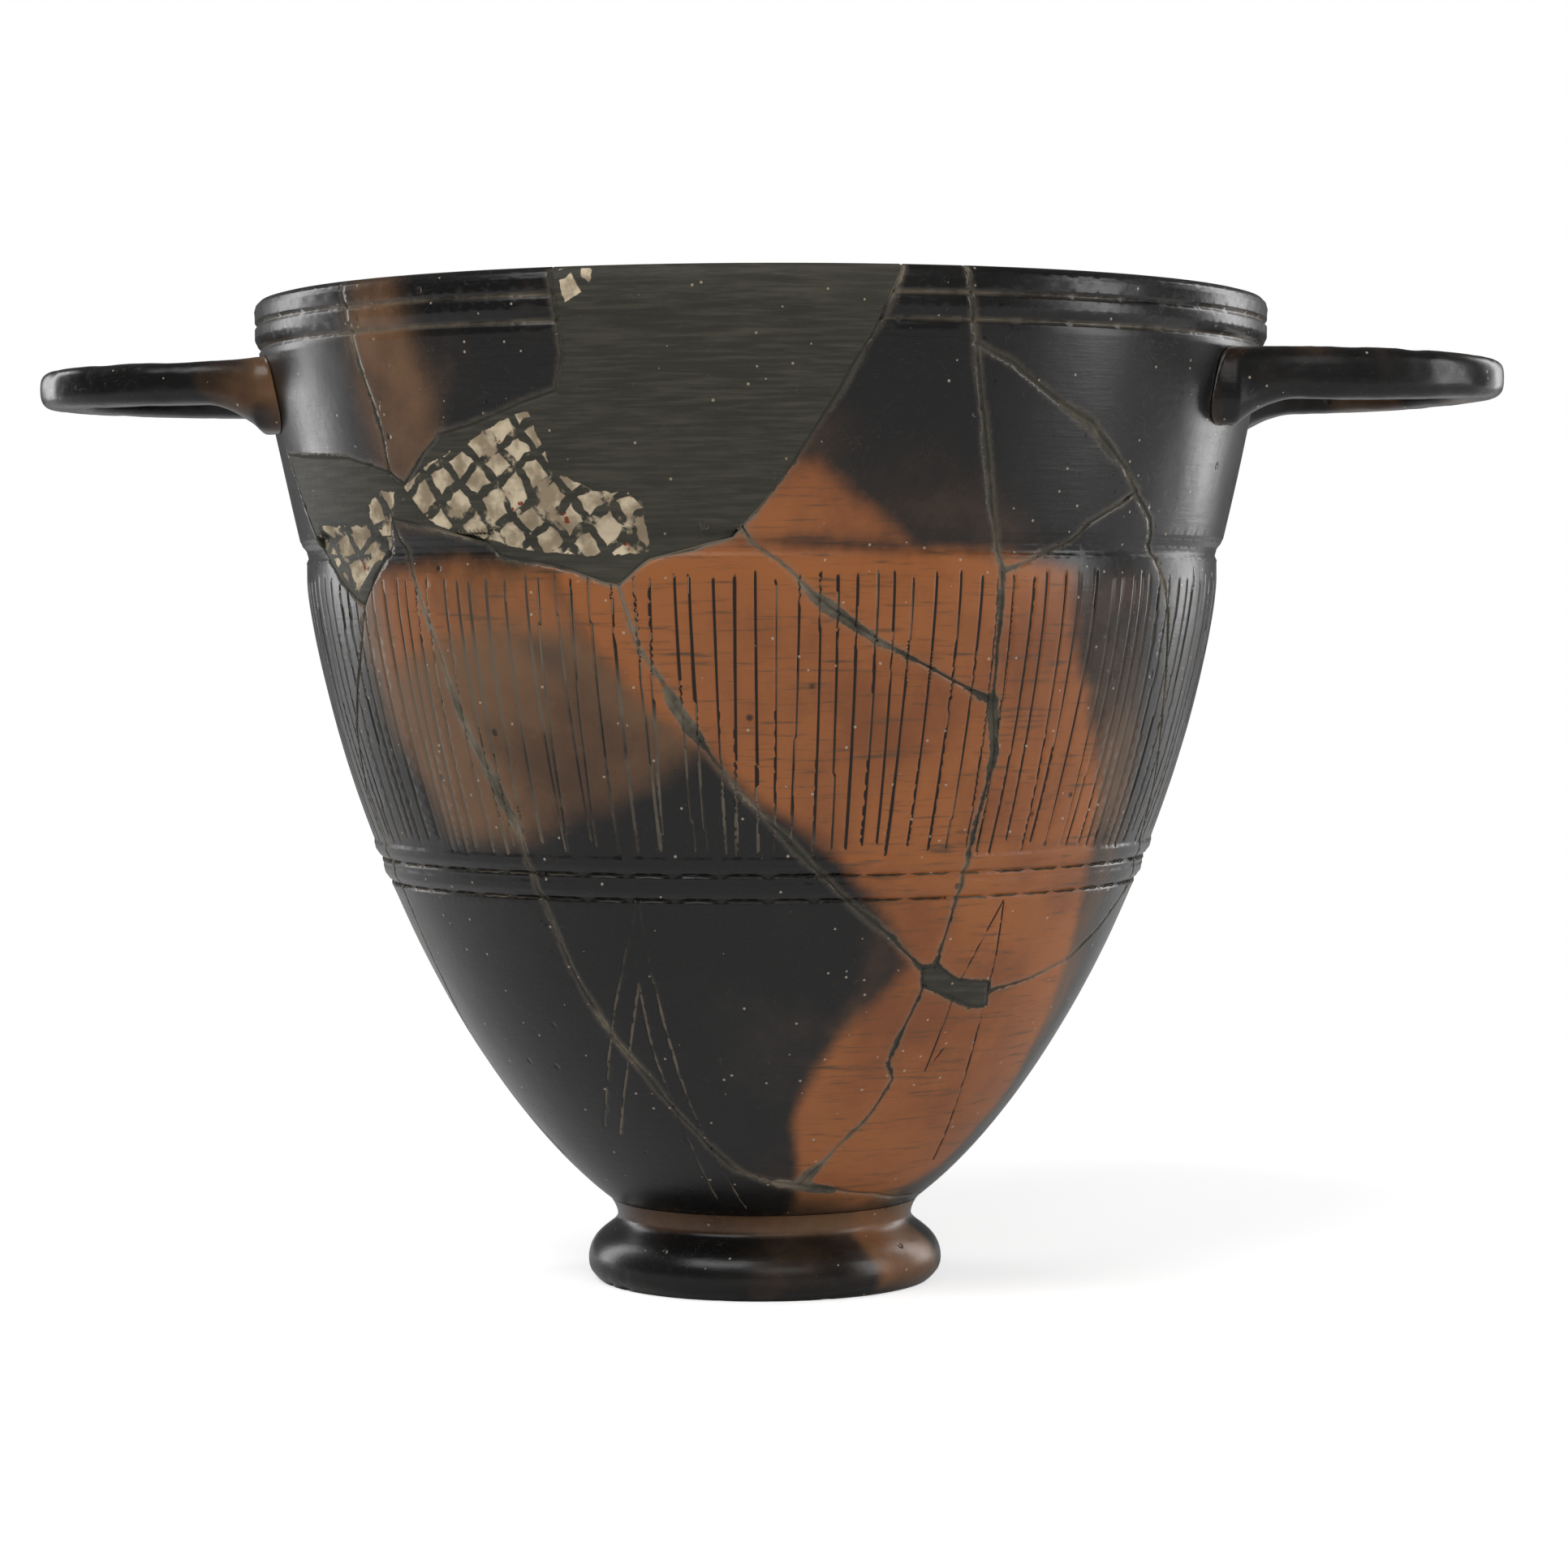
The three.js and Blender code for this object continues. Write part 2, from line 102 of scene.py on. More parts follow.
def mixed(low: float, high: float, share: float) -> float:
    """Returns the value a share of the way from low to high."""
    return low + (high - low) * share


def middle_of(edge: bmesh.types.BMEdge) -> Vector:
    """Returns the middle of an edge."""
    return (edge.verts[0].co + edge.verts[1].co) / 2


def inside_distance(point: Point2, outline: tuple[Point2, ...]) -> float:
    """Measures how far a point lies inside a closed outline.

    Args:
        point: the point.
        outline: the corners of the outline in order.

    Returns:
        The distance to the nearest side, positive inside and negative outside.
    """
    px, py = point
    nearest = math.inf
    inside = False
    for (ax, ay), (bx, by) in zip(outline, outline[1:] + outline[:1]):
        dx, dy = bx - ax, by - ay
        share = min(max(((px - ax) * dx + (py - ay) * dy) / (dx * dx + dy * dy), 0.0), 1.0)
        nearest = min(nearest, math.hypot(px - ax - share * dx, py - ay - share * dy))
        if (ay > py) != (by > py) and px < ax + (py - ay) * dx / dy:
            inside = not inside
    return nearest if inside else -nearest


@dataclass(frozen=True)
class Patch:
    """A stretch of the wall with its own colour, outlined in degrees and millimetres."""

    outline: tuple[Point2, ...]
    feather: float
    strength: float = 1.0

    @cached_property
    def reach(self) -> tuple[float, float, float, float]:
        """The least and greatest angle and height at which the patch still shows."""
        angles = [corner[0] for corner in self.outline]
        heights = [corner[1] for corner in self.outline]
        return (
            min(angles) - self.feather,
            max(angles) + self.feather,
            min(heights) - self.feather,
            max(heights) + self.feather,
        )

    def amount(self, degrees: float, height: float) -> float:
        """Finds how much of the patch's colour shows at a place on the wall.

        Args:
            degrees: the place's angle.
            height: the place's height.

        Returns:
            A number from 0 to the patch's strength.
        """
        left, right, low, high = self.reach
        if not (left < degrees < right and low < height < high):
            return 0.0
        inside = inside_distance((degrees, height), self.outline)
        return self.strength * smooth_step(inside, -self.feather, self.feather)


@dataclass(frozen=True)
class Stroke:
    """A line scratched into the wall between two places, as (degrees, height)."""

    start: Point2
    end: Point2
    width: float
    depth: float
    taper: float

    @property
    def middle(self) -> Point2:
        """The place half-way along the stroke."""
        return (self.start[0] + self.end[0]) / 2, (self.start[1] + self.end[1]) / 2


@dataclass(frozen=True)
class WallProfile:
    """The turned profile of the cup's wall."""

    cup_height: float = 150.0
    rim_radius: float = 77.4
    rim_thickness: float = 3.6
    lip_height: float = 6.0
    lip_rounding: float = 1.7
    lip_relief: float = 0.3
    # How far out the plain wall's curve is pulled, as a share of its flare
    plain_wall_pull: float = 0.54
    step_height: float = 113.8
    step_overhang: float = 1.05
    step_cove_height: float = 3.6
    # Sections, as (share of the height or width, relief)
    step_cove: tuple[Point2, ...] = ((0.2, 0.72), (0.48, 0.0), (0.75, -0.25), (1.0, 0.08))
    shoulder_height: float = 107.4
    shoulder_radius: float = 69.8
    body_fullness: float = 1.357
    foot_height: float = 12.6
    foot_joint_radius: float = 23.8
    moulding_heights: Span = (62.0, 65.6)
    moulding_width: float = 3.1
    moulding_relief: float = 0.36
    moulding_section: tuple[Point2, ...] = (
        (-0.3, 0.0),
        (-0.16, 0.2),
        (0.0, -1.0),
        (0.16, 0.3),
        (0.42, 1.0),
        (0.68, 0.7),
        (0.92, 0.0),
    )
    rim_line_drops: Span = (3.8, 7.4)
    rim_line_width: float = 1.1
    rim_line_depth: float = 0.45
    slope_span: float = 0.4
    # Flat facets round the axis of the CAD bowl
    facets: int = 54

    @property
    def rim_line_heights(self) -> tuple[float, ...]:
        """The heights of the two lines under the lip."""
        return tuple(self.cup_height - drop for drop in self.rim_line_drops)

    def body_radius(self, height: float) -> float:
        """Finds the radius of the ovoid body.

        Args:
            height: the height on the wall.

        Returns:
            The outer radius there.
        """
        joint = 1 - (self.foot_joint_radius / self.shoulder_radius) ** 2
        depth = (self.shoulder_height - self.foot_height) / joint ** (1 / self.body_fullness)
        drop = min(max((self.shoulder_height - height) / depth, 0.0), 1.0)
        return self.shoulder_radius * math.sqrt(1 - drop**self.body_fullness)

    def upper_radius(self, height: float) -> float:
        """Finds the radius of the plain wall and the lip, above the step.

        Args:
            height: the height on the wall.

        Returns:
            The outer radius there.
        """
        wall_height = self.cup_height - self.lip_height - self.step_height
        share = (height - self.step_height) / wall_height
        if share > 1:
            return self.rim_radius
        share = max(share, 0.0)
        low = self.shoulder_radius + self.step_overhang
        pull = mixed(low, self.rim_radius, self.plain_wall_pull)
        high = self.rim_radius - self.lip_relief
        return mixed(mixed(low, pull, share), mixed(pull, high, share), share)

    def plain_radius(self, height: float) -> float:
        """Returns the outer radius at a height, without incised or moulded lines."""
        below = height < self.step_height
        return self.body_radius(height) if below else self.upper_radius(height)

    def decorated_radius(self, height: float) -> float:
        """Adds the step's cove, the mouldings and the two lines under the lip.

        Args:
            height: the height of the place on the wall.

        Returns:
            The outer radius there.
        """
        radius = self.plain_radius(height)
        cove_share = (self.step_height - height) / self.step_cove_height
        if 0 < cove_share < 1:
            cove = ((0.0, self.step_overhang), *self.step_cove)
            radius = self.shoulder_radius + eased(cove, cove_share)
        for groove in self.moulding_heights:
            rise = (height - groove) / self.moulding_width
            radius += self.moulding_relief * eased(self.moulding_section, rise)
        for line in self.rim_line_heights:
            reach = abs(height - line) / (self.rim_line_width / 2)
            radius -= self.rim_line_depth * max(1 - reach, 0.0)
        return radius

    def normal(self, degrees: float, height: float) -> Vector:
        """Finds the wall's outward normal.

        Args:
            degrees: the angle of the place on the wall.
            height: its height.

        Returns:
            The normal, of length 1.
        """
        radius_at = self.body_radius if height < self.step_height else self.upper_radius
        gain = radius_at(height + self.slope_span) - radius_at(height - self.slope_span)
        turn = math.radians(degrees)
        outward = Vector((math.cos(turn), math.sin(turn), -gain / (2 * self.slope_span)))
        return outward.normalized()

    def place(self, degrees: float, height: float) -> Vector:
        """Finds the point on the outer wall at an angle and a height.

        Args:
            degrees: the angle.
            height: the height.

        Returns:
            The point.
        """
        turn = math.radians(degrees)
        radius = self.plain_radius(height)
        return Vector((radius * math.cos(turn), radius * math.sin(turn), height))


def eased(section: tuple[Point2, ...], position: float) -> float:
    """Reads a smooth curve through the points of a section; it is 0 outside them.

    Args:
        section: (position, value) points in rising order.
        position: where to read the curve.

    Returns:
        The value there.
    """
    for (low, low_value), (high, high_value) in zip(section, section[1:]):
        if low <= position < high:
            return mixed(low_value, high_value, smooth_step(position, low, high))
    return 0.0


class Firing:
    """Where the black clay turned orange or brown in the kiln, and where the fills lost their paint."""

    ORANGE = (
        Patch(
            (
                (-110, 111), (-92, 112.5), (-60, 111), (-44, 109), (-42, 97), (-36, 82),
                (-30, 67), (-25, 49), (-18, 31), (-24, 19), (-50, 15.5), (-73, 17.5), (-77, 29),
                (-67.7, 45), (-62.3, 52), (-67, 60), (-75, 69), (-88, 80), (-99, 90), (-104, 97),
            ),
            4.6,
        ),
        Patch(((-139, 111), (-106, 111), (-103, 98), (-118, 99), (-136, 94)), 5.0, 0.52),
        Patch(((-91, 112.5), (-86.2, 116), (-81, 124), (-77, 124.5), (-69, 116), (-66, 111)), 4.0, 0.8),
    )
    BROWN = (
        Patch(
            (
                (-141.8, 108), (-112, 110), (-100, 96), (-90, 84),
                (-104, 74), (-118, 70), (-134, 70), (-140, 88),
            ),
            4.5,
            0.9,
        ),
        Patch(((-133, 151), (-125, 151), (-122, 132), (-119, 116), (-132, 113), (-134, 130)), 3.5, 0.6),
        Patch(((-80, 132), (-62, 130), (-50, 112), (-90, 112)), 7.0, 0.45),
        Patch(((-62, 110), (-30, 108), (-20, 60), (-12, 25), (-40, 12), (-75, 13)), 4.0, 0.5),
        Patch(((30, 40), (60, 52), (95, 44), (110, 26), (70, 18), (35, 22)), 6.0, 0.6),
        Patch(((150, 100), (172, 112), (200, 104), (196, 84), (168, 80)), 6.0, 0.5),
    )
    SMUDGE = (
        Patch(((-116, 101), (-107, 100), (-100, 88), (-103, 84), (-112, 92)), 4.5, 0.5),
        Patch(((-64, 104), (-56, 104), (-54, 96), (-60, 93)), 3.0, 0.35),
    )
    FLAKES = (
        Patch(
            (
                (-128.6, 120.6), (-124, 123.6), (-119.8, 125.4), (-114, 128.8), (-109.7, 130.6),
                (-107.5, 122.3), (-103, 119.6), (-97.3, 118.8), (-96.9, 111), (-102.7, 110.3),
                (-112, 111.4), (-117.2, 112.9), (-123.9, 115.0), (-127.4, 117.4),
            ),
            0.7,
        ),
        Patch(((-135, 120.2), (-130.4, 120.1), (-132.4, 113), (-133.1, 110.3), (-138.4, 110.4)), 0.5),
        Patch(((-149.9, 115.4), (-134.1, 115), (-135.6, 111.5), (-144, 111), (-153.5, 111.9)), 0.5),
        Patch(((-148.8, 110.9), (-136.5, 110.6), (-141.6, 105.6)), 0.5),
        Patch(((-105.2, 149.6), (-101.4, 149.6), (-101.8, 146.8), (-104.4, 145.0)), 0.4),
    )
    SMEARS = (
        Patch(
            ((-125.6, 93.5), (-123.4, 91.8), (-120.0, 84.5), (-115.6, 79.2), (-118.6, 71.0), (-124, 84)),
            1.6,
        ),
        Patch(((-99.5, 90), (-94, 92), (-91, 85), (-96, 84)), 1.6),
        Patch(((-84, 107), (-76, 105), (-70, 98), (-79, 97)), 1.5),
        Patch(((-50, 131), (-41, 127), (-41, 121), (-47, 124)), 1.5),
        Patch(((-59, 91), (-52, 91), (-51, 80), (-57, 80)), 1.5, 0.8),
        Patch(((-80, 20), (-66, 22), (-62, 14), (-84, 12)), 1.6),
    )

    ZONES = {
        "orange": ORANGE,
        "brown": BROWN,
        "smudge": SMUDGE,
        "flake": FLAKES,
        "smear": SMEARS,
    }

    @staticmethod
    def amount(patches: tuple[Patch, ...], degrees: float, height: float) -> float:
        """Returns the largest amount that any of the patches gives at a place."""
        return max(patch.amount(degrees, height) for patch in patches)


@dataclass
class Engraving:
    """The lines scored into the clay: the upright strokes of the band and the long rays below it."""

    seed: int = WALL_SEED
    band_top: float = 108.4
    band_bottom: float = 68.4
    band_spacing: float = 2.25
    band_width: float = 0.78
    band_depth: float = 0.26
    band_taper: float = 0.9
    # Least and greatest amount that chance adds to a stroke's ends, or multiplies its sizes by
    lean: Span = (-0.9, 0.9)
    top_play: Span = (-0.9, 0.4)
    bottom_play: Span = (-0.7, 1.6)
    width_play: Span = (0.8, 1.25)
    depth_play: Span = (0.75, 1.2)
    spacing_play: Span = (0.72, 1.35)
    ray_width: float = 0.62
    ray_depth: float = 0.2
    ray_taper: float = 0.3
    ray_width_play: Span = (0.7, 1.2)
    ray_turns: Triple = (0.0, 118.0, 236.0)

    RAYS = (
        ((-102.1, 62.3), (-104.3, 57.1), (-106.3, 52.3), (-110.5, 44.2), (-116.2, 34.6), (-123.1, 26.5)),
        ((-102.1, 62.3), (-101.9, 52.4), (-101.1, 42.6), (-99.8, 32.6), (-96.6, 23.5), (-90, 13.8)),
        ((-104.3, 49.5), (-109.4, 38.6), (-114.2, 31.5), (-119.7, 25.4)),
        ((-104.3, 49.5), (-104.4, 40), (-103.3, 32.5), (-101.3, 23.4), (-98.9, 15.1)),
        ((-46.6, 61.3), (-44.6, 52.5), (-43.2, 43.9), (-39.5, 32.4), (-31.7, 20.2)),
        ((-46.6, 61.3), (-48.3, 56.4), (-50.8, 48.6), (-51.5, 35.6)),
        ((-48.9, 39.3), (-50.4, 36.8)),
    )

    def strokes(self) -> list[Stroke]:
        """Draws every stroke, the band's all round the cup and the rays also repeated round the back.

        Returns:
            The strokes.
        """
        draw = random.Random(self.seed)
        strokes = []
        degrees = -180.0
        while degrees < 180 - self.band_spacing / 2:
            end_degrees = degrees + draw.uniform(*self.lean)
            top = self.band_top + draw.uniform(*self.top_play)
            bottom = self.band_bottom + draw.uniform(*self.bottom_play)
            width = self.band_width * draw.uniform(*self.width_play)
            depth = self.band_depth * draw.uniform(*self.depth_play)
            ends = ((degrees, top), (end_degrees, bottom))
            strokes.append(Stroke(*ends, width, depth, self.band_taper))
            degrees += self.band_spacing * draw.uniform(*self.spacing_play)
        for turn in self.ray_turns:
            for ray in self.RAYS:
                for start, end in zip(ray, ray[1:]):
                    ends = ((start[0] + turn, start[1]), (end[0] + turn, end[1]))
                    width = self.ray_width * draw.uniform(*self.ray_width_play)
                    strokes.append(Stroke(*ends, width, self.ray_depth, self.ray_taper))
        return strokes


@dataclass(frozen=True)
class Handwork:
    """How uneven the turned wall is, and how far its broken edges and flaked paint are worn."""

    slow_sway: float = 0.11
    slow_size: float = 19.0
    quick_sway: float = 0.025
    quick_size: float = 4.2
    chip_size: float = 1.9
    chip_shift: Triple = (5, 1, 9)
    chip_noise: Span = (0.42, 0.75)
    edge_reach: float = 0.4
    chip_reach: float = 0.8
    edge_depth: float = 0.03
    chip_depth: float = 0.3
    flake_depth: float = 0.09

    def sway(self, point: Vector) -> float:
        """Returns how far the turned face stands out from its profile at a point."""
        slow = noise.noise(point / self.slow_size) - 0.5
        quick = noise.noise(point / self.quick_size) - 0.5
        return self.slow_sway * slow + self.quick_sway * quick

    def edge_wear(self, point: Vector, distance: float) -> float:
        """Finds how far a point sinks because it is near a broken edge.

        Args:
            point: the point.
            distance: how far it is from the nearest broken edge.

        Returns:
            The depth.
        """
        spot = point / self.chip_size + Vector(self.chip_shift)
        chip = smooth_step(noise.noise(spot), *self.chip_noise)
        edge = max(1 - distance / (self.edge_reach + self.chip_reach * chip), 0.0)
        return edge * edge * (self.edge_depth + self.chip_depth * chip)


@dataclass
class WallPiece:
    """One sherd or fill of the wall, made finer than its CAD node and worn along its fractures."""

    node: str
    slot: str
    material: bpy.types.Material
    profile: WallProfile
    strokes: list[Stroke]
    seams: "FractureSeams"
    plaster: bool = False
    handwork: Handwork = Handwork()
    crease: float = 48.0
    # Longest edges near a fracture, elsewhere on the outer face, and on the hidden faces
    fine_length: float = 0.8
    coarse_length: float = 1.9
    hidden_length: float = 7.0
    fine_reach: float = 2.2
    splits: int = 7
    tree_spacing: float = 0.4
    weld: float = 1e-3
    # How far below the profile a point may lie and still belong to the outer face
    skin_depth: float = 0.97
    foot_clearance: float = 0.02
    # The bottom has no fractures; near the rim they face round the axis, and elsewhere they are
    # square to the outer face
    bottom_radius: float = 15.0
    rim_zone: float = 2.2
    rim_slant: float = 0.6
    wall_slant: float = 0.5
    # How far beside a stroke its faces reach, and how far round the wall they are looked for
    cut_margin: float = 1.3
    cut_reach: float = 3.5
    cut_tolerance: float = 1e-5
    cut_start: float = -0.05
    dust_width: float = 0.5
    inner_brown: float = 0.15

    def polar(self, point: Vector) -> Triple:
        """Returns a point's angle in degrees, height and distance from the axis."""
        return math.degrees(math.atan2(point.y, point.x)), point.z, math.hypot(point.x, point.y)

    def on_skin(self, point: Vector) -> bool:
        """Says whether a point belongs to the wall's outer face.

        Args:
            point: the point.

        Returns:
            True for the outer face.
        """
        _, height, radius = self.polar(point)
        if height < self.profile.foot_height + self.foot_clearance:
            return False
        return radius > self.profile.plain_radius(height) - self.skin_depth

    def is_fracture(self, face: bmesh.types.BMFace) -> bool:
        """Says whether a face belongs to a fracture surface.

        Args:
            face: the face.

        Returns:
            True for a fracture surface.
        """
        degrees, height, radius = self.polar(face.calc_center_median())
        if height > self.profile.cup_height - self.rim_zone:
            turn = math.radians(degrees)
            round_axis = Vector((-math.sin(turn), math.cos(turn), 0))
            return abs(face.normal.dot(round_axis)) > self.rim_slant
        outward = self.profile.normal(degrees, height)
        return radius > self.bottom_radius and abs(face.normal.dot(outward)) < self.wall_slant

    def fracture_edges(self, mesh: bmesh.types.BMesh) -> list[bmesh.types.BMEdge]:
        """Finds the edges where the outer face breaks off into a fracture surface.

        Args:
            mesh: the piece.

        Returns:
            The edges.
        """
        found = []
        for edge in mesh.edges:
            if len(edge.link_faces) == 2 and self.on_skin(middle_of(edge)):
                first, second = edge.link_faces
                if self.is_fracture(first) != self.is_fracture(second):
                    found.append(edge)
        return found

    def fracture_tree(self, edges: list[bmesh.types.BMEdge]) -> KDTree:
        """Gathers closely spaced points of the fracture edges for distance look-ups.

        Args:
            edges: the fracture edges.

        Returns:
            The tree of points.
        """
        points = []
        for edge in edges:
            start, end = edge.verts[0].co, edge.verts[1].co
            count = max(int((end - start).length / self.tree_spacing), 1)
            points += [start.lerp(end, i / count) for i in range(count + 1)]
        tree = KDTree(len(points))
        for index, point in enumerate(points):
            tree.insert(point, index)
        tree.balance()
        return tree

    def wanted_length(self, middle: Vector, tree: KDTree) -> float:
        """Finds the longest edge allowed at a place.

        Args:
            middle: the middle of the edge.
            tree: the points of the fracture edges.

        Returns:
            The length.
        """
        if not self.on_skin(middle):
            return self.hidden_length
        _, _, distance = tree.find(middle)
        return self.fine_length if distance < self.fine_reach else self.coarse_length

    def refine(self, mesh: bmesh.types.BMesh, tree: KDTree) -> None:
        """Splits long edges until the outer face can carry the finer shape.

        Args:
            mesh: the piece.
            tree: the points of the fracture edges.
        """
        for _ in range(self.splits):
            long_edges = [
                edge
                for edge in mesh.edges
                if edge.calc_length() > self.wanted_length(middle_of(edge), tree)
            ]
            if not long_edges:
                return
            bmesh.ops.subdivide_edges(mesh, edges=long_edges, cuts=1)
            crowded = [face for face in mesh.faces if len(face.verts) > 3]
            bmesh.ops.triangulate(mesh, faces=crowded)

    def round_facets(self, mesh: bmesh.types.BMesh) -> None:
        """Turns the flat facets round the axis into a true circle.

        Args:
            mesh: the piece.
        """
        pitch = 2 * math.pi / self.profile.facets
        for vertex in mesh.verts:
            turn = math.atan2(vertex.co.y, vertex.co.x) + math.pi / 2
            off_centre = turn % pitch - pitch / 2
            scale = math.cos(off_centre) / math.cos(pitch / 2)
            vertex.co.x *= scale
            vertex.co.y *= scale

    def settle(self, mesh: bmesh.types.BMesh) -> None:
        """Moves the outer face onto the smooth profile, with the slow unevenness of handwork.

        Args:
            mesh: the piece.
        """
        lip_start = self.profile.cup_height - self.profile.lip_rounding
        radius_at = self.profile.plain_radius if self.plaster else self.profile.decorated_radius
        for vertex in mesh.verts:
            if self.on_skin(vertex.co) and vertex.co.z <= lip_start:
                _, height, radius = self.polar(vertex.co)
                target = radius_at(height) + self.handwork.sway(vertex.co)
                vertex.co.x *= target / radius
                vertex.co.y *= target / radius

    def column(self, face: bmesh.types.BMFace) -> int:
        """Returns the whole degree at which a face lies."""
        return round(self.polar(face.calc_center_median())[0]) % FULL_TURN

    def score(self, mesh: bmesh.types.BMesh, marks: PointLayer, sinks: PointLayer) -> None:
        """Cuts every stroke that crosses this piece into its outer face as a real groove.

        Args:
            mesh: the piece.
            marks: the layer that says how strongly a point is marked.
            sinks: the layer that says how deep a point sinks.
        """
        low = min(vertex.co.z for vertex in mesh.verts)
        high = max(vertex.co.z for vertex in mesh.verts)
        skin = {}
        for face in mesh.faces:
            if self.on_skin(face.calc_center_median()) and not self.is_fracture(face):
                skin.setdefault(self.column(face), []).append(face)
        for stroke in self.strokes:
            heights = (stroke.start[1], stroke.end[1])
            if min(heights) <= high and max(heights) >= low:
                self.cut(mesh, stroke, skin, marks, sinks)

    def cut(
        self,
        mesh: bmesh.types.BMesh,
        stroke: Stroke,
        skin: FacesByDegree,
        marks: PointLayer,
        sinks: PointLayer,
    ) -> None:
        """Cuts one stroke: its two edges, then its bottom line, whose points are marked to sink.

        Args:
            mesh: the piece.
            stroke: the stroke.
            skin: the outer faces by whole degree, kept up to date with the new faces.
            marks: the layer that says how strongly a point is marked.
            sinks: the layer that says how deep a point sinks.
        """
        start = self.profile.place(*stroke.start)
        run = self.profile.place(*stroke.end) - start
        side = run.cross(self.profile.normal(*stroke.middle)).normalized()
        faces = self.taken_faces(skin, stroke, start, side)
        if not faces:
            return
        edges = dict.fromkeys(edge for face in faces for edge in face.edges)
        corners = dict.fromkeys(vertex for face in faces for vertex in face.verts)
        geometry = [*faces, *edges, *corners]
        for offset in (-0.5, 0.5, 0.0):
            cut = bmesh.ops.bisect_plane(
                mesh,
                geom=geometry,
                dist=self.cut_tolerance,
                plane_co=start + side * (offset * stroke.width),
                plane_no=side,
            )
            geometry = cut["geom"]
        for item in cut["geom_cut"]:
            if isinstance(item, bmesh.types.BMVert):
                along = (item.co - start).dot(run) / run.length
                from_end = min(along, run.length - along)
                strength = smooth_step(from_end, self.cut_start, stroke.taper)
                if strength > item[marks]:
                    item[marks] = strength
                    item[sinks] = strength * stroke.depth
        for item in geometry:
            if isinstance(item, bmesh.types.BMFace) and item.is_valid:
                skin.setdefault(self.column(item), []).append(item)

    def taken_faces(
        self,
        skin: FacesByDegree,
        stroke: Stroke,
        start: Vector,
        side: Vector,
    ) -> list[bmesh.types.BMFace]:
        """Takes the faces near a stroke out of the outer faces.

        Args:
            skin: the outer faces by whole degree.
            stroke: the stroke.
            start: the point where it starts.
            side: the direction square to it along the wall.

        Returns:
            The faces that were taken out.
        """
        lowest = min(stroke.start[1], stroke.end[1]) - self.cut_margin
        highest = max(stroke.start[1], stroke.end[1]) + self.cut_margin
        radius = self.profile.plain_radius((lowest + highest) / 2)
        spread = abs(stroke.end[0] - stroke.start[0]) / 2
        reach = math.ceil(spread + math.degrees(self.cut_reach / radius))
        middle = round(stroke.middle[0])
        taken = []
        for degree in range(middle - reach, middle + reach + 1):
            kept = []
            for face in skin.get(degree % FULL_TURN, ()):
                if not face.is_valid:
                    continue
                spot = face.calc_center_median()
                near = abs((spot - start).dot(side)) < stroke.width / 2 + self.cut_margin
                if near and lowest < spot.z < highest:
                    taken.append(face)
                else:
                    kept.append(face)
            skin[degree % FULL_TURN] = kept
        return taken

    def wear(self, mesh: bmesh.types.BMesh, tree: KDTree, sinks: PointLayer) -> None:
        """Sinks the strokes, rounds and chips the fracture edges and lays the flaked paint bare.

        Args:
            mesh: the piece.
            tree: the points of the fracture edges.
            sinks: the layer that says how deep a point sinks.
        """
        for vertex in mesh.verts:
            if not self.on_skin(vertex.co):
                continue
            degrees, height, radius = self.polar(vertex.co)
            _, _, distance = tree.find(vertex.co)
            depth = vertex[sinks] + self.handwork.edge_wear(vertex.co, distance)
            if self.plaster:
                flaked = Firing.amount(Firing.FLAKES, degrees, height)
                depth += self.handwork.flake_depth * flaked
            vertex.co.x *= 1 - depth / radius
            vertex.co.y *= 1 - depth / radius

    def paint(self, mesh: bpy.types.Mesh, tree: KDTree) -> None:
        """Stores the colour zones, the dust and the distance to the nearest fracture on the points.

        Args:
            mesh: the finished mesh, in metres.
            tree: the points of the fracture edges.
        """
        columns = {name: [] for name in ("seam", "lip_dust", *Firing.ZONES)}
        for vertex in mesh.vertices:
            point = vertex.co / MM
            degrees, height, _ = self.polar(point)
            if degrees > BACK_ANGLE:
                degrees -= FULL_TURN
            skin = self.on_skin(point)
            _, _, distance = tree.find(point)
            columns["seam"].append(min(distance, FAR_FROM_SEAM) if skin else FAR_FROM_SEAM)
            for name, patches in Firing.ZONES.items():
                hidden = self.inner_brown if name == "brown" else 0.0
                amount = Firing.amount(patches, degrees, height) if skin else hidden
                columns[name].append(amount)
            from_line = min(abs(height - line) for line in self.profile.rim_line_heights)
            dust = max(1 - from_line / self.dust_width, 0.0)
            columns["lip_dust"].append(dust if skin and not self.plaster else 0.0)
        store(mesh, columns)

    def build(self, source: bpy.types.Object) -> None:
        """Makes the fine piece, which replaces its CAD node.

        Args:
            source: the CAD node's object.
        """
        shape = bmesh.new()
        shape.from_mesh(source.data)
        shape.transform(source.matrix_world)
        bmesh.ops.scale(shape, vec=Vector((1, 1, 1)) / MM, verts=shape.verts)
        bmesh.ops.remove_doubles(shape, verts=shape.verts, dist=self.weld)
        bmesh.ops.triangulate(shape, faces=shape.faces)
        shape.normal_update()
        marks = shape.verts.layers.float.new("scored")
        sinks = shape.verts.layers.float.new("sunk")
        tree = self.fracture_tree(self.fracture_edges(shape))
        self.refine(shape, tree)
        self.round_facets(shape)
        self.settle(shape)
        shape.normal_update()
        if not self.plaster:
            self.score(shape, marks, sinks)
        self.wear(shape, tree, sinks)
        shape.normal_update()
        self.seams.add(self, shape)
        bmesh.ops.scale(shape, vec=Vector((MM, MM, MM)), verts=shape.verts)
        mesh = bpy.data.meshes.new(f"{self.node}_surface")
        shape.to_mesh(mesh)
        shape.free()
        mesh.attributes.remove(mesh.attributes["sunk"])
        self.paint(mesh, tree)
        finished_piece(self.node, mesh, self.material, self.crease)


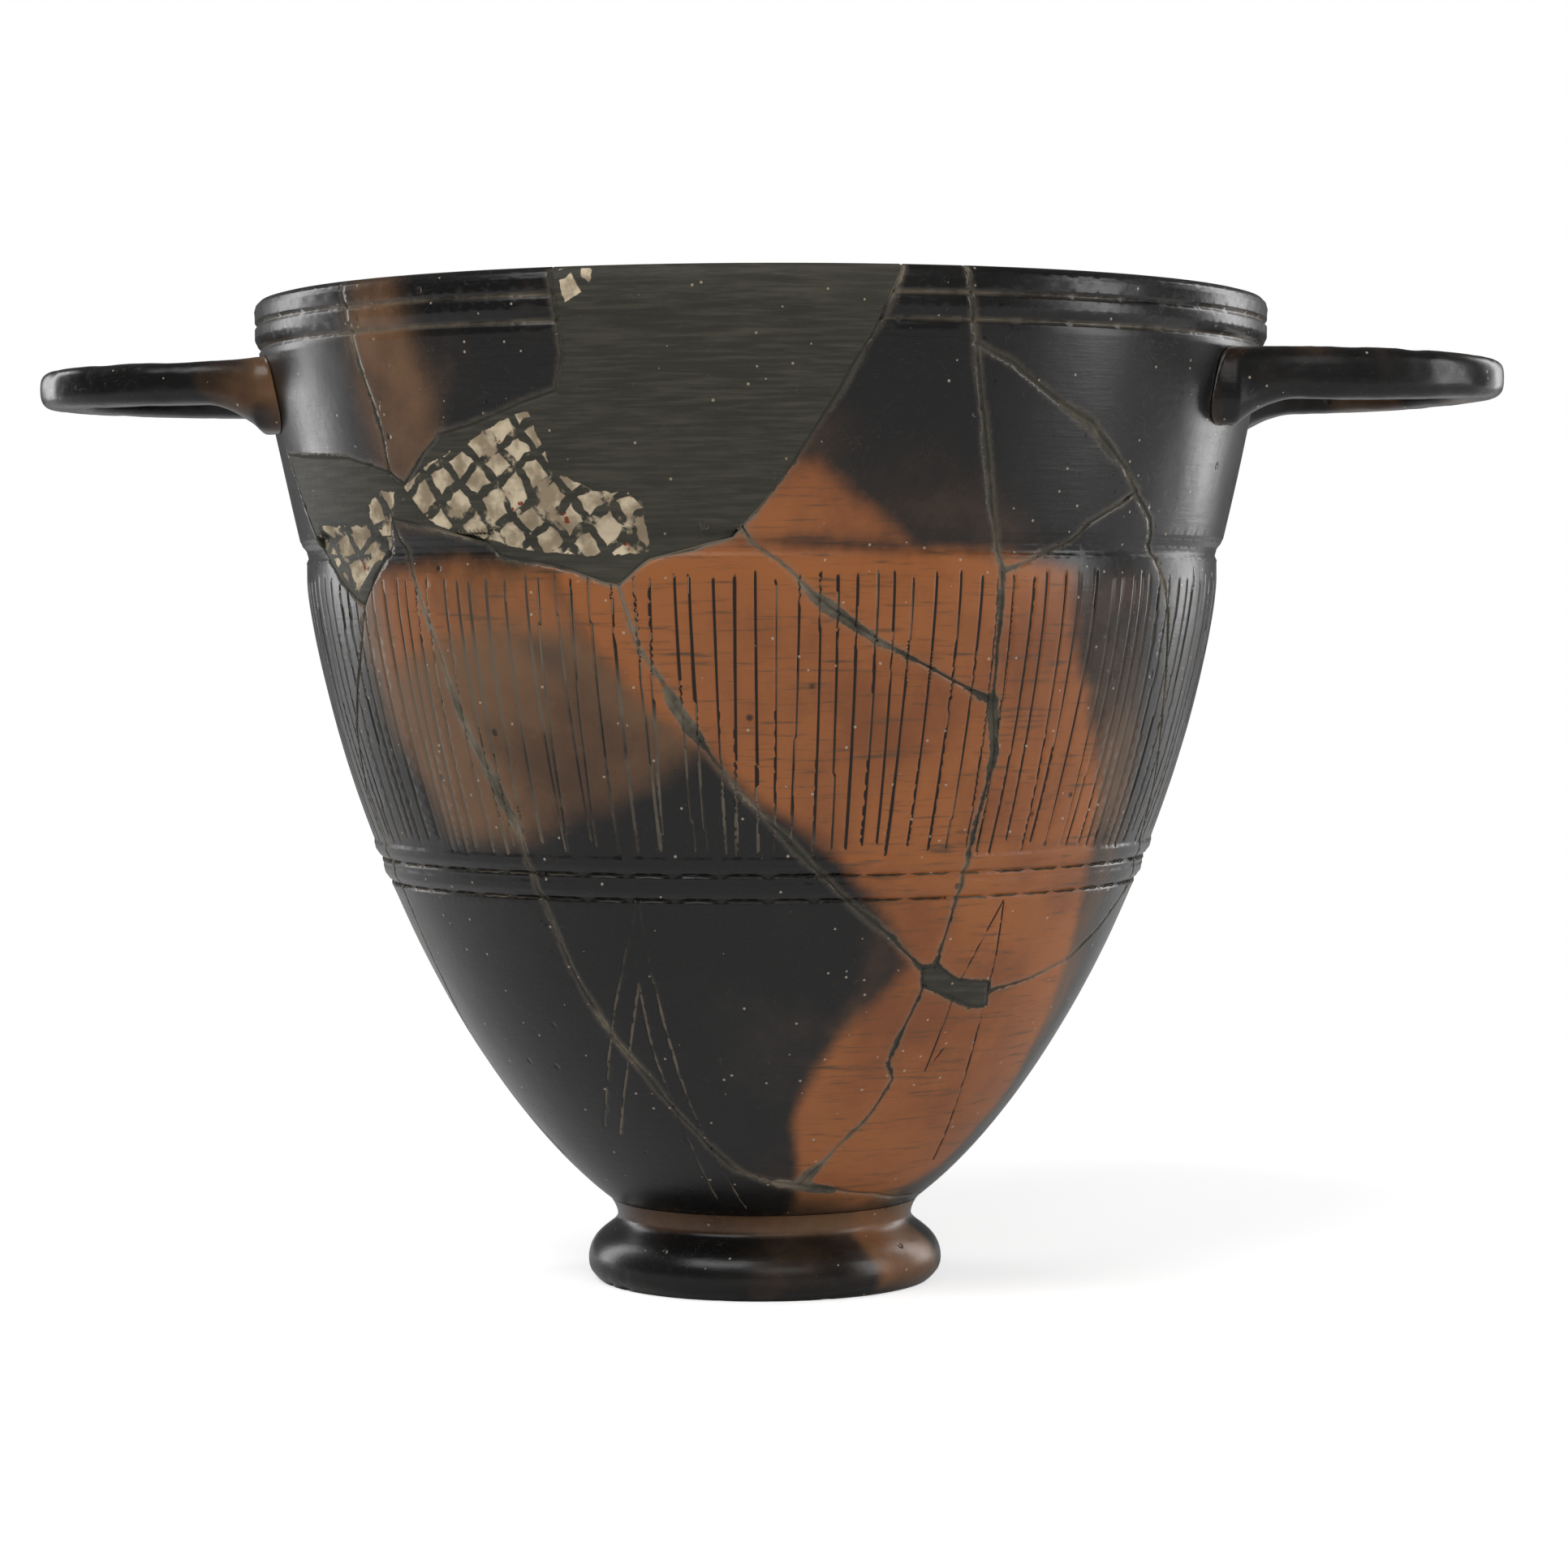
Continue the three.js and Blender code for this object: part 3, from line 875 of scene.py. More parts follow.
@dataclass
class FractureSeams:
    """The adhesive and filler in the fractures, as bars from each broken edge to just past mid-gap."""

    material: bpy.types.Material
    name: str = "fracture_adhesive"
    sunk: float = 0.1
    depth: float = 1.5
    width: float = 0.2
    overlap: float = 0.05
    smear: float = 0.6
    points: list[Vector] = field(default_factory=list)
    faces: list[tuple[int, ...]] = field(default_factory=list)

    def add(self, wall: WallPiece, mesh: bmesh.types.BMesh) -> None:
        """Adds the bars along one piece's broken edges.

        Args:
            wall: the piece.
            mesh: its fine shape, in millimetres.
        """
        edges = wall.fracture_edges(mesh)
        outward = {}
        for edge in edges:
            broken = next(face for face in edge.link_faces if wall.is_fracture(face))
            for vertex in edge.verts:
                outward[vertex] = outward.get(vertex, Vector()) + broken.normal
        first = {}
        for vertex, direction in outward.items():
            degrees, height, _ = wall.polar(vertex.co)
            normal = wall.profile.normal(degrees, height)
            gap = direction.normalized()
            top = vertex.co - normal * self.sunk
            low = vertex.co - normal * self.depth
            first[vertex] = len(self.points)
            self.points += [top - gap * self.overlap, top + gap * self.width]
            self.points += [low + gap * self.width, low - gap * self.overlap]
        for edge in edges:
            here, after = first[edge.verts[0]], first[edge.verts[1]]
            for side, turn in ((0, 1), (1, 2), (2, 3), (3, 0)):
                self.faces.append((here + side, here + turn, after + turn, after + side))

    def build(self) -> None:
        """Makes one piece of all the bars."""
        mesh = bpy.data.meshes.new(self.name)
        mesh.from_pydata([point * MM for point in self.points], [], self.faces)
        store(mesh, {"smear": [self.smear] * len(self.points)})
        mesh.materials.append(self.material)
        piece = bpy.data.objects.new(self.name, mesh)
        bpy.context.scene.collection.objects.link(piece)
        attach(piece, "root")
        log.info("%s: %d faces", piece.name, len(self.faces))


def store(mesh: bpy.types.Mesh, columns: dict[str, list[float]]) -> None:
    """Stores the values that the finishes read on a mesh's points.

    Args:
        mesh: the mesh.
        columns: the values by name; a name that is left out gets 0 everywhere.
    """
    nothing = [0.0] * len(mesh.vertices)
    for name in POINT_VALUES:
        if name not in mesh.attributes:
            attribute = mesh.attributes.new(name, "FLOAT", "POINT")
            attribute.data.foreach_set("value", columns.get(name, nothing))


def finished_piece(
    node: str,
    mesh: bpy.types.Mesh,
    material: bpy.types.Material,
    crease: float,
) -> None:
    """Puts a mesh in the scene as the piece that stands for a CAD node.

    Args:
        node: the CAD node.
        mesh: the piece's mesh, in metres.
        material: its finish.
        crease: the angle above which an edge is sharp, in degrees.
    """
    mesh.materials.clear()
    mesh.materials.append(material)
    for polygon in mesh.polygons:
        polygon.use_smooth = True
    mesh.set_sharp_from_angle(angle=math.radians(crease))
    piece = bpy.data.objects.new(f"{node}_fine", mesh)
    bpy.context.scene.collection.objects.link(piece)
    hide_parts(node)
    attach(piece, "root")
    log.info("%s: %d faces", piece.name, len(mesh.polygons))


def skinned_mesh(name: str, rings: list[list[Vector]]) -> bpy.types.Mesh:
    """Skins a row of rings with quads and caps both ends.

    Args:
        name: the mesh's name.
        rings: rings of as many points each, in metres.

    Returns:
        The mesh.
    """
    count = len(rings[0])
    points = [point for ring in rings for point in ring]
    last = len(points) - count
    faces = []
    for here in range(0, last, count):
        after = here + count
        for j in range(count):
            k = (j + 1) % count
            faces.append((here + j, here + k, after + k, after + j))
    faces.append(tuple(reversed(range(count))))
    faces.append(tuple(range(last, len(points))))
    mesh = bpy.data.meshes.new(name)
    mesh.from_pydata(points, [], faces)
    mesh.validate()
    shape = bmesh.new()
    shape.from_mesh(mesh)
    bmesh.ops.recalc_face_normals(shape, faces=shape.faces)
    shape.to_mesh(mesh)
    shape.free()
    return mesh


@dataclass
class LoopHandle:
    """One horizontal loop handle with flared, luted roots."""

    node: str
    slot: str
    material: bpy.types.Material
    profile: WallProfile
    mirrored: bool
    grip_height: float
    reach: float = 113.0
    level: float = 137.5
    spread: float = 23.3
    grip_width: float = 7.5
    tip_height: float = 6.1
    root_height: float = 11.8
    root_width: float = 13.2
    root_drop: float = 2.0
    root_length: float = 9.0
    squareness: float = 3.2
    seat_gap: float = 0.06
    rings: int = 150
    ring_crowding: float = 0.45
    facets: int = 56
    crease: float = 60.0
    # Depth, size and spread of the dents, and of a finer grain
    dent: float = 0.22
    dent_size: float = 6.5
    dent_noise: Span = (-0.1, 0.7)
    grain: float = 0.05
    grain_size: float = 1.7
    mean_radius: float = 4.0
    deepest_dent: float = 0.2
    # How brown the handle is all over, near its roots and in clouds
    brown: float = 0.08
    root_brown: float = 0.3
    root_brown_span: Span = (0.5, 4.0)
    cloud_brown: float = 0.35
    cloud_size: float = 11.0
    cloud_noise: Span = (0.1, 0.5)
    chip_place: Triple = (84.2, -17.6, 140.5)
    chip_span: Span = (2.6, 1.2)
    chip_orange: float = 0.9

    def ring(self, share: float) -> list[Vector]:
        """Returns the ring of points round the grip a share of the way from root to root.

        Args:
            share: 0 at one root and 1 at the other.

        Returns:
            The ring, in millimetres.
        """
        wall = self.profile.plain_radius(self.level)
        root_x = math.sqrt(wall**2 - self.spread**2) - self.profile.rim_thickness
        depth = self.reach - self.grip_width / 2 - root_x
        turn = mixed(-math.pi / 2, math.pi / 2, share)
        centre = Vector((root_x + depth * math.cos(turn), self.spread * math.sin(turn), self.level))
        across = Vector((self.spread * math.cos(turn), depth * math.sin(turn), 0)).normalized()
        from_wall = max(math.hypot(centre.x, centre.y) - wall, 0.0)
        flare = max(1 - from_wall / self.root_length, 0.0) ** 2
        width = mixed(self.grip_width, self.root_width, flare)
        arm = mixed(self.grip_height, self.tip_height, math.cos(turn) ** 4)
        height = mixed(arm, self.root_height, flare)
        centre.z -= self.root_drop * flare
        ring = []
        for i in range(self.facets):
            angle = 2 * math.pi * (i + 0.5) / self.facets
            c, s = math.cos(angle), math.sin(angle)
            power = self.squareness
            scale = (abs(c) ** power + abs(s) ** power) ** (-1 / power)
            sideways = across * (width / 2 * scale * c)
            point = centre + sideways + Vector((0, 0, height / 2 * scale * s))
            ring.append(self.seated(point.lerp(centre, self.dented(point))))
        return ring

    def dented(self, point: Vector) -> float:
        """Finds how far handwork and wear have pushed a point in.

        Args:
            point: the point, in millimetres.

        Returns:
            The share of the way to the middle of the grip.
        """
        dent = self.dent * smooth_step(noise.noise(point / self.dent_size), *self.dent_noise)
        grain = self.grain * (1 + noise.noise(point / self.grain_size))
        return min((dent + grain) / self.mean_radius, self.deepest_dent)

    def seated(self, point: Vector) -> Vector:
        """Lifts a point that would be inside the wall onto the wall's face.

        Args:
            point: the point, in millimetres.

        Returns:
            The point itself, or its place on the wall.
        """
        seat = self.profile.plain_radius(point.z) + self.seat_gap
        radius = math.hypot(point.x, point.y)
        if radius >= seat:
            return point
        return Vector((point.x * seat / radius, point.y * seat / radius, point.z))

    def build(self) -> None:
        """Makes the handle and lets it replace its CAD node."""
        flip = -1 if self.mirrored else 1
        rings = []
        for i in range(self.rings + 1):
            share = i / self.rings
            crowded = 0.5 - 0.5 * math.cos(math.pi * share)
            ring = self.ring(mixed(share, crowded, self.ring_crowding))
            rings.append([Vector((p.x * flip, p.y * flip, p.z)) * MM for p in ring])
        mesh = skinned_mesh(f"{self.node}_surface", rings)
        orange = []
        brown = []
        for vertex in mesh.vertices:
            point = vertex.co / MM
            from_wall = math.hypot(point.x, point.y) - self.profile.plain_radius(point.z)
            root = 1 - smooth_step(from_wall, *self.root_brown_span)
            cloud = smooth_step(noise.noise(point / self.cloud_size), *self.cloud_noise)
            brown.append(self.brown + self.root_brown * root + self.cloud_brown * cloud)
            from_chip = (point - Vector(self.chip_place)).length
            orange.append(self.chip_orange * smooth_step(from_chip, *self.chip_span))
        far = [FAR_FROM_SEAM] * len(orange)
        store(mesh, {"seam": far, "orange": orange, "brown": brown})
        finished_piece(self.node, mesh, self.material, self.crease)


def cubic(share: float, values: tuple[float, float, float, float]) -> float:
    """Reads a cubic curve.

    Args:
        share: how far along the curve to read, from 0 to 1.
        values: the curve's start, its two pulls and its end.

    Returns:
        The value there.
    """
    rest = 1 - share
    weights = (rest**3, 3 * rest**2 * share, 3 * rest * share**2, share**3)
    return sum(weight * value for weight, value in zip(weights, values))


def stations(first: float, last: float, count: int) -> list[float]:
    """Returns evenly spaced values from first to last, both included."""
    return [mixed(first, last, i / (count - 1)) for i in range(count)]


@dataclass
class RingFoot:
    """The flared ring foot under the body."""

    slot: str
    material: bpy.types.Material
    profile: WallProfile
    node: str = "foot"
    waist_height: float = 10.0
    waist_radius: float = 22.75
    waist_pull: float = 2.0
    radius: float = 27.35
    widest_height: float = 3.0
    widest_pull: float = 4.6
    standing_radius: float = 25.6
    hollow_radius: float = 19.4
    hollow_depth: float = 6.0
    hollow_flatness: float = 4.2
    neck_spread: float = 1.6
    seat_dish: float = 3.2
    seat_gap: float = 0.08
    facets: int = 220
    crease: float = 60.0
    nick: float = 0.55
    nick_size: float = 2.6
    nick_shift: Triple = (2, 8, 3)
    nick_noise: Span = (0.32, 0.72)
    nick_height: float = 1.2
    nick_fade: Span = (0.6, 2.4)
    unevenness: float = 0.06
    unevenness_size: float = 7.0
    brown: float = 0.06
    flank_orange: float = 0.35

    # The standing edge, as (share of the way out, share of the way up to the widest place)
    BEVEL = ((0.0, 0.0), (0.22, 0.1), (0.5, 0.27), (0.8, 0.5), (0.95, 0.75))
    # First share, last share and number of points on each stretch of the section
    HOLLOW_STATIONS = (0.04, 1, 12)
    FLARE_STATIONS = (0, 1, 22)
    NECK_STATIONS = (0.16, 1, 6)
    SEAT_STATIONS = (0.92, 0.04, 7)
    BROWN_FLANK = Patch(((-52, 14), (-12, 14), (-8, 1), (-44, 1)), 3.5, 0.7)
    BROWN_WAIST = Patch(((-160, 12.9), (-5, 12.9), (-5, 9.4), (-160, 9.4)), 0.9, 0.6)

    def hollow(self, share: float) -> Point2:
        """Returns the (radius, height) of the hollow at a share of its radius."""
        height = self.hollow_depth * (1 - share**self.hollow_flatness)
        return self.hollow_radius * share, height

    def flare(self, share: float) -> Point2:
        """Returns the (radius, height) of the flare a share of the way from the widest place up."""
        low, high = self.widest_height, self.waist_height
        radii = (self.radius, self.radius, self.waist_radius, self.waist_radius)
        heights = (low, low + self.widest_pull, high - self.waist_pull, high)
        return cubic(share, radii), cubic(share, heights)

    def neck(self, share: float) -> Point2:
        """Returns the (radius, height) of the neck a share of the way from the waist to the body."""
        rise = self.profile.foot_height - self.waist_height - self.seat_gap
        joint = self.profile.foot_joint_radius
        spread = share**self.neck_spread
        return mixed(self.waist_radius, joint, spread), self.waist_height + rise * share

    def seat(self, share: float) -> Point2:
        """Returns the (radius, height) of the dished seat at a share of its radius."""
        dish = self.seat_dish * (1 - share**2) + self.seat_gap
        return self.profile.foot_joint_radius * share, self.profile.foot_height - dish

    def outline(self) -> list[Point2]:
        """Draws the foot's section from the middle of the hollow to the middle of the seat.

        Returns:
            The (radius, height) points.
        """
        bevel = [
            (mixed(self.standing_radius, self.radius, out), self.widest_height * up)
            for out, up in self.BEVEL
        ]
        return [
            *map(self.hollow, stations(*self.HOLLOW_STATIONS)),
            *bevel,
            *map(self.flare, stations(*self.FLARE_STATIONS)),
            *map(self.neck, stations(*self.NECK_STATIONS)),
            *map(self.seat, stations(*self.SEAT_STATIONS)),
        ]

    def worn(self, point: Vector) -> float:
        """Finds how far the foot is worn at a point, most where its standing edge is nicked.

        Args:
            point: the point, in millimetres.

        Returns:
            The depth of the wear, in millimetres.
        """
        spot = point / self.nick_size + Vector(self.nick_shift)
        nick = smooth_step(noise.noise(spot), *self.nick_noise)
        low = 1 - smooth_step(abs(point.z - self.nick_height), *self.nick_fade)
        uneven = self.unevenness * (1 + noise.noise(point / self.unevenness_size))
        return uneven + self.nick * nick * low

    def build(self) -> None:
        """Turns the section round the axis, wears it and lets the foot replace its CAD node."""
        rings = []
        for radius, height in self.outline():
            ring = []
            for i in range(self.facets):
                turn = 2 * math.pi * i / self.facets
                point = Vector((radius * math.cos(turn), radius * math.sin(turn), height))
                scale = 1 - self.worn(point) / radius if radius > self.hollow_radius else 1.0
                ring.append(Vector((point.x * scale, point.y * scale, height)) * MM)
            rings.append(ring)
        mesh = skinned_mesh(f"{self.node}_surface", rings)
        orange = []
        brown = []
        for vertex in mesh.vertices:
            point = vertex.co / MM
            degrees = math.degrees(math.atan2(point.y, point.x))
            flank = self.BROWN_FLANK.amount(degrees, point.z)
            brown.append(max(flank, self.BROWN_WAIST.amount(degrees, point.z), self.brown))
            orange.append(self.flank_orange * flank)
        far = [FAR_FROM_SEAM] * len(orange)
        store(mesh, {"seam": far, "orange": orange, "brown": brown})
        finished_piece(self.node, mesh, self.material, self.crease)


@dataclass(frozen=True)
class Grain:
    """The scale, per metre, the detail and the roughness of one noise."""

    scale: float
    detail: float = 3.0
    rough: float = 0.55


@dataclass
class Bench:
    """Places nodes in one shader node tree and wires them up."""

    tree: bpy.types.NodeTree

    def feed(self, socket: bpy.types.NodeSocket, value: Signal) -> None:
        """Links a socket to another, or sets its value.

        Args:
            socket: the input socket.
            value: the output socket or the plain value that it gets.
        """
        if isinstance(value, bpy.types.NodeSocket):
            self.tree.links.new(value, socket)
        else:
            socket.default_value = value

    def add(
        self,
        kind: str,
        inputs: dict[int | str, Signal] | None = None,
        **settings: object,
    ) -> bpy.types.Node:
        """Adds a node.

        Args:
            kind: the node's type, without the ShaderNode prefix.
            inputs: what goes into its sockets.
            settings: the node's own properties.

        Returns:
            The node.
        """
        node = self.tree.nodes.new(f"ShaderNode{kind}")
        for name, value in settings.items():
            setattr(node, name, value)
        for key, value in (inputs or {}).items():
            self.feed(node.inputs[key], value)
        return node

    def place(self) -> bpy.types.NodeSocket:
        """Returns the place on the piece, in its own coordinates."""
        return self.add("TexCoord").outputs["Object"]

    def math(self, operation: str, *values: Signal) -> bpy.types.NodeSocket:
        """Adds a Math node and returns its result."""
        return self.add("Math", dict(enumerate(values)), operation=operation).outputs[0]

    def total(self, start: Signal, *shares: tuple[Signal, float]) -> Signal:
        """Adds shares of several values to a start value.

        Args:
            start: the value to start from.
            shares: each further value with the factor it counts by.

        Returns:
            The sum.
        """
        result = start
        for value, factor in shares:
            result = self.math("MULTIPLY_ADD", value, factor, result)
        return result

    def blend(self, factor: Signal, first: Signal, second: Signal) -> bpy.types.NodeSocket:
        """Mixes two colours and returns the result."""
        inputs = dict(zip(COLOUR_MIX_INPUTS, (factor, first, second)))
        return self.add("Mix", inputs, data_type="RGBA").outputs[COLOUR_MIX_RESULT]

    def tint(
        self,
        base: Signal,
        colour: Signal,
        mask: Signal,
        strength: float,
    ) -> bpy.types.NodeSocket:
        """Lays a colour over another where a mask says so, at a strength, and returns the result."""
        return self.blend(self.math("MULTIPLY", mask, strength), base, colour)

    def ease(self, value: Signal, span: Span) -> bpy.types.NodeSocket:
        """Eases a value from 0 at the span's first number to 1 at its second.

        Args:
            value: the value to ease.
            span: where the result is 0 and where it is 1; the first may be the larger.

        Returns:
            The eased value.
        """
        rising = span[0] < span[1]
        ends = {
            "Value": value,
            "From Min": min(span),
            "From Max": max(span),
            "To Min": 0.0 if rising else 1.0,
            "To Max": 1.0 if rising else 0.0,
        }
        return self.add("MapRange", ends, interpolation_type="SMOOTHSTEP").outputs[0]

    def noise(self, vector: Signal, grain: Grain) -> bpy.types.NodeSocket:
        """Adds a Noise Texture and returns its value."""
        inputs = {
            "Vector": vector,
            "Scale": grain.scale,
            "Detail": grain.detail,
            "Roughness": grain.rough,
        }
        return self.add("TexNoise", inputs).outputs[0]

    def swing(self, value: Signal) -> bpy.types.NodeSocket:
        """Shifts a value round 0.5 to one round 0 and returns it."""
        return self.math("SUBTRACT", value, 0.5)

    def stretched(self, vector: Signal, factors: Triple) -> bpy.types.NodeSocket:
        """Scales a vector unevenly and returns it."""
        return self.add("VectorMath", {0: vector, 1: factors}, operation="MULTIPLY").outputs[0]

    def value(self, name: str) -> bpy.types.NodeSocket:
        """Reads a value stored on the piece's points."""
        return self.add("Attribute", attribute_name=name).outputs["Fac"]

    def surface(
        self,
        base: Signal,
        rough: Signal,
        height: Signal,
        relief: float,
        specular: float,
    ) -> None:
        """Adds the bump, the shader and the material's output.

        Args:
            base: the colour.
            rough: the roughness.
            height: the height of the fine relief.
            relief: how strongly the fine relief shows.
            specular: the strength of the gloss.
        """
        bump = self.add("Bump", {"Strength": relief, "Distance": BUMP_DISTANCE, "Height": height})
        inputs = {"Base Color": base, "Roughness": rough, "Normal": bump.outputs[0]}
        shader = self.add("BsdfPrincipled", inputs)
        shader.inputs["Specular IOR Level"].default_value = specular
        self.feed(self.add("OutputMaterial").inputs["Surface"], shader.outputs[0])


def new_material(name: str) -> tuple[bpy.types.Material, Bench]:
    """Starts a material.

    Args:
        name: the material's name.

    Returns:
        The material and the bench for its nodes.
    """
    material = bpy.data.materials.new(name)
    material.use_nodes = True
    material.node_tree.nodes.clear()
    return material, Bench(material.node_tree)


def new_group(
    name: str,
    inputs: dict[str, str],
    outputs: tuple[str, ...],
) -> tuple[Bench, bpy.types.Node, bpy.types.Node]:
    """Starts a shader node group.

    Args:
        name: the group's name.
        inputs: socket types by name.
        outputs: the names of the values that it puts out.

    Returns:
        The bench for the group, its input node and its output node.
    """
    tree = bpy.data.node_groups.new(name, "ShaderNodeTree")
    for label, kind in inputs.items():
        tree.interface.new_socket(name=label, in_out="INPUT", socket_type=f"NodeSocket{kind}")
    for label in outputs:
        tree.interface.new_socket(name=label, in_out="OUTPUT", socket_type="NodeSocketFloat")
    return Bench(tree), tree.nodes.new("NodeGroupInput"), tree.nodes.new("NodeGroupOutput")


@dataclass(frozen=True)
class HandledSurface:
    """Fine scratches, mineral specks, pits, a slow mottle and the streaks of turning."""

    bend: Grain = Grain(55.0)
    scratches: tuple[tuple[float, Grain, Grain], ...] = (
        (0.5, Grain(900.0, 1.0, 0.4), Grain(70.0, 2.0)),
        (1.9, Grain(1150.0, 1.0, 0.4), Grain(98.0, 2.0)),
        (2.7, Grain(1000.0, 1.0, 0.4), Grain(114.0, 2.0)),
    )
    scratch_squeeze: Triple = (1.0, 1.0, 0.035)
    scratch_edge: Span = (0.71, 0.76)
    scratch_patches: Span = (0.52, 0.66)
    speck_scale: float = 820.0
    speck_size: float = 0.17
    speck_rarity: float = 0.93
    pit_scale: float = 230.0
    pit_edge: Span = (0.16, 0.06)
    pit_rarity: float = 0.86
    mottle: Grain = Grain(38.0, 6.0, 0.62)
    streaks: Grain = Grain(110.0, 4.0, 0.6)
    streak_squeeze: Triple = (1.0, 1.0, 14.0)

    def scratch_mask(self, bench: Bench, place: Signal) -> Signal:
        """Draws the scratches: thin strands that run three ways and show only in patches.

        Args:
            bench: the group's bench.
            place: the place on the piece.

        Returns:
            The mask of the scratches.
        """
        bending = {0: place, 1: bench.noise(place, self.bend)}
        bent = bench.add("VectorMath", bending, operation="ADD").outputs[0]
        mask = 0.0
        for tilt, strands, patches in self.scratches:
            inputs = {"Vector": bent, "Angle": tilt}
            turned = bench.add("VectorRotate", inputs, rotation_type="Y_AXIS").outputs[0]
            strand = bench.noise(bench.stretched(turned, self.scratch_squeeze), strands)
            patch = bench.ease(bench.noise(turned, patches), self.scratch_patches)
            line = bench.math("MULTIPLY", bench.ease(strand, self.scratch_edge), patch)
            mask = bench.math("MAXIMUM", mask, line)
        return mask

    def cells(self, bench: Bench, place: Signal, scale: float) -> tuple[Signal, bpy.types.Node]:
        """Scatters dots over the surface.

        Args:
            bench: the group's bench.
            place: the place on the piece.
            scale: how closely the dots lie.

        Returns:
            The distance to the nearest dot, and a node with three random numbers for that dot.
        """
        scatter = bench.add("TexVoronoi", {"Vector": place, "Scale": scale}, feature="F1")
        chances = bench.add("SeparateColor", {0: scatter.outputs["Color"]})
        return scatter.outputs["Distance"], chances

    def group(self) -> bpy.types.NodeTree:
        """Builds the shader group.

        Returns:
            The group.
        """
        outputs = ("Scratches", "Specks", "Pits", "Mottle", "Streaks")
        bench, start, end = new_group("handled clay surface", {"Vector": "Vector"}, outputs)
        place = start.outputs["Vector"]
        distance, chances = self.cells(bench, place, self.speck_scale)
        chosen = bench.math("GREATER_THAN", chances.outputs[0], self.speck_rarity)
        specks = bench.math("MULTIPLY", bench.math("LESS_THAN", distance, self.speck_size), chosen)
        distance, chances = self.cells(bench, place, self.pit_scale)
        chosen = bench.math("GREATER_THAN", chances.outputs[1], self.pit_rarity)
        pits = bench.math("MULTIPLY", bench.ease(distance, self.pit_edge), chosen)
        mottle = bench.noise(place, self.mottle)
        streaks = bench.noise(bench.stretched(place, self.streak_squeeze), self.streaks)
        results = (self.scratch_mask(bench, place), specks, pits, mottle, streaks)
        for label, result in zip(outputs, results):
            bench.feed(end.inputs[label], result)
        return bench.tree


@dataclass(frozen=True)
class FractureFiller:
    """Filler pressed into a fracture and smeared a little over its edges."""

    ragged: Grain = Grain(900.0, 3.0, 0.6)
    ragged_width: float = 0.9
    patches: Grain = Grain(95.0, 2.0)
    patch_edge: Span = (0.38, 0.66)
    patch_width: float = 0.34
    least_width: float = 0.06
    smear_width: float = 0.62
    filler_edge: Span = (-0.1, 0.1)
    dust_edge: Span = (-0.9, 0.3)

    def group(self) -> bpy.types.NodeTree:
        """Builds the shader group.

        Returns:
            The group.
        """
        inputs = {"Vector": "Vector", "Seam": "Float", "Smear": "Float"}
        bench, start, end = new_group("fracture filler", inputs, ("Mask", "Dust"))
        place = start.outputs["Vector"]
        width = bench.total(
            self.least_width,
            (bench.ease(bench.noise(place, self.patches), self.patch_edge), self.patch_width),
            (start.outputs["Smear"], self.smear_width),
            (bench.swing(bench.noise(place, self.ragged)), self.ragged_width),
        )
        inside = bench.math("SUBTRACT", width, start.outputs["Seam"])
        bench.feed(end.inputs["Mask"], bench.ease(inside, self.filler_edge))
        bench.feed(end.inputs["Dust"], bench.ease(inside, self.dust_edge))
        return bench.tree


@dataclass(frozen=True)
class PaintRemains:
    """Criss-cross remains of paint over bare plaster; its spacing and drift are metres."""

    directions: tuple[Point2, ...] = ((0.83, 0.62), (-0.62, 0.8))
    spacing: float = 0.0041
    drift: float = 0.0042
    drifting: Grain = Grain(130.0, 3.0, 0.6)
    band_edge: Span = (0.17, 0.13)
    patches: Grain = Grain(210.0, 4.0, 0.65)
    patch_edge: Span = (0.38, 0.48)

    def group(self) -> bpy.types.NodeTree:
        """Builds the shader group.

        Returns:
            The group.
        """
        outputs = ("Mask",)
        bench, start, end = new_group("criss-cross paint remains", {"Vector": "Vector"}, outputs)
        place = start.outputs["Vector"]
        drift = bench.math("MULTIPLY", bench.noise(place, self.drifting), self.drift)
        parts = bench.add("SeparateXYZ", {0: place})
        mask = 0.0
        for across, up in self.directions:
            run = bench.total(drift, (parts.outputs[0], across), (parts.outputs[2], up))
            share = bench.math("FRACT", bench.math("DIVIDE", run, self.spacing))
            off_middle = bench.math("ABSOLUTE", bench.swing(share))
            mask = bench.math("MAXIMUM", mask, bench.ease(off_middle, self.band_edge))
        patches = bench.ease(bench.noise(place, self.patches), self.patch_edge)
        bench.feed(end.inputs["Mask"], bench.math("MULTIPLY", mask, patches))
        return bench.tree


@dataclass
class Effects:
    """The shared shader node groups, each built once."""

    wear: bpy.types.NodeTree = field(default_factory=HandledSurface().group)
    filler: bpy.types.NodeTree = field(default_factory=FractureFiller().group)
    hatch: bpy.types.NodeTree = field(default_factory=PaintRemains().group)


class ClayTone(Enum):
    """The clay tones named in the record's material slots."""

    BLACK = "black_clay"
    BROWN = "brown_clay"
    ORANGE = "orange_clay"


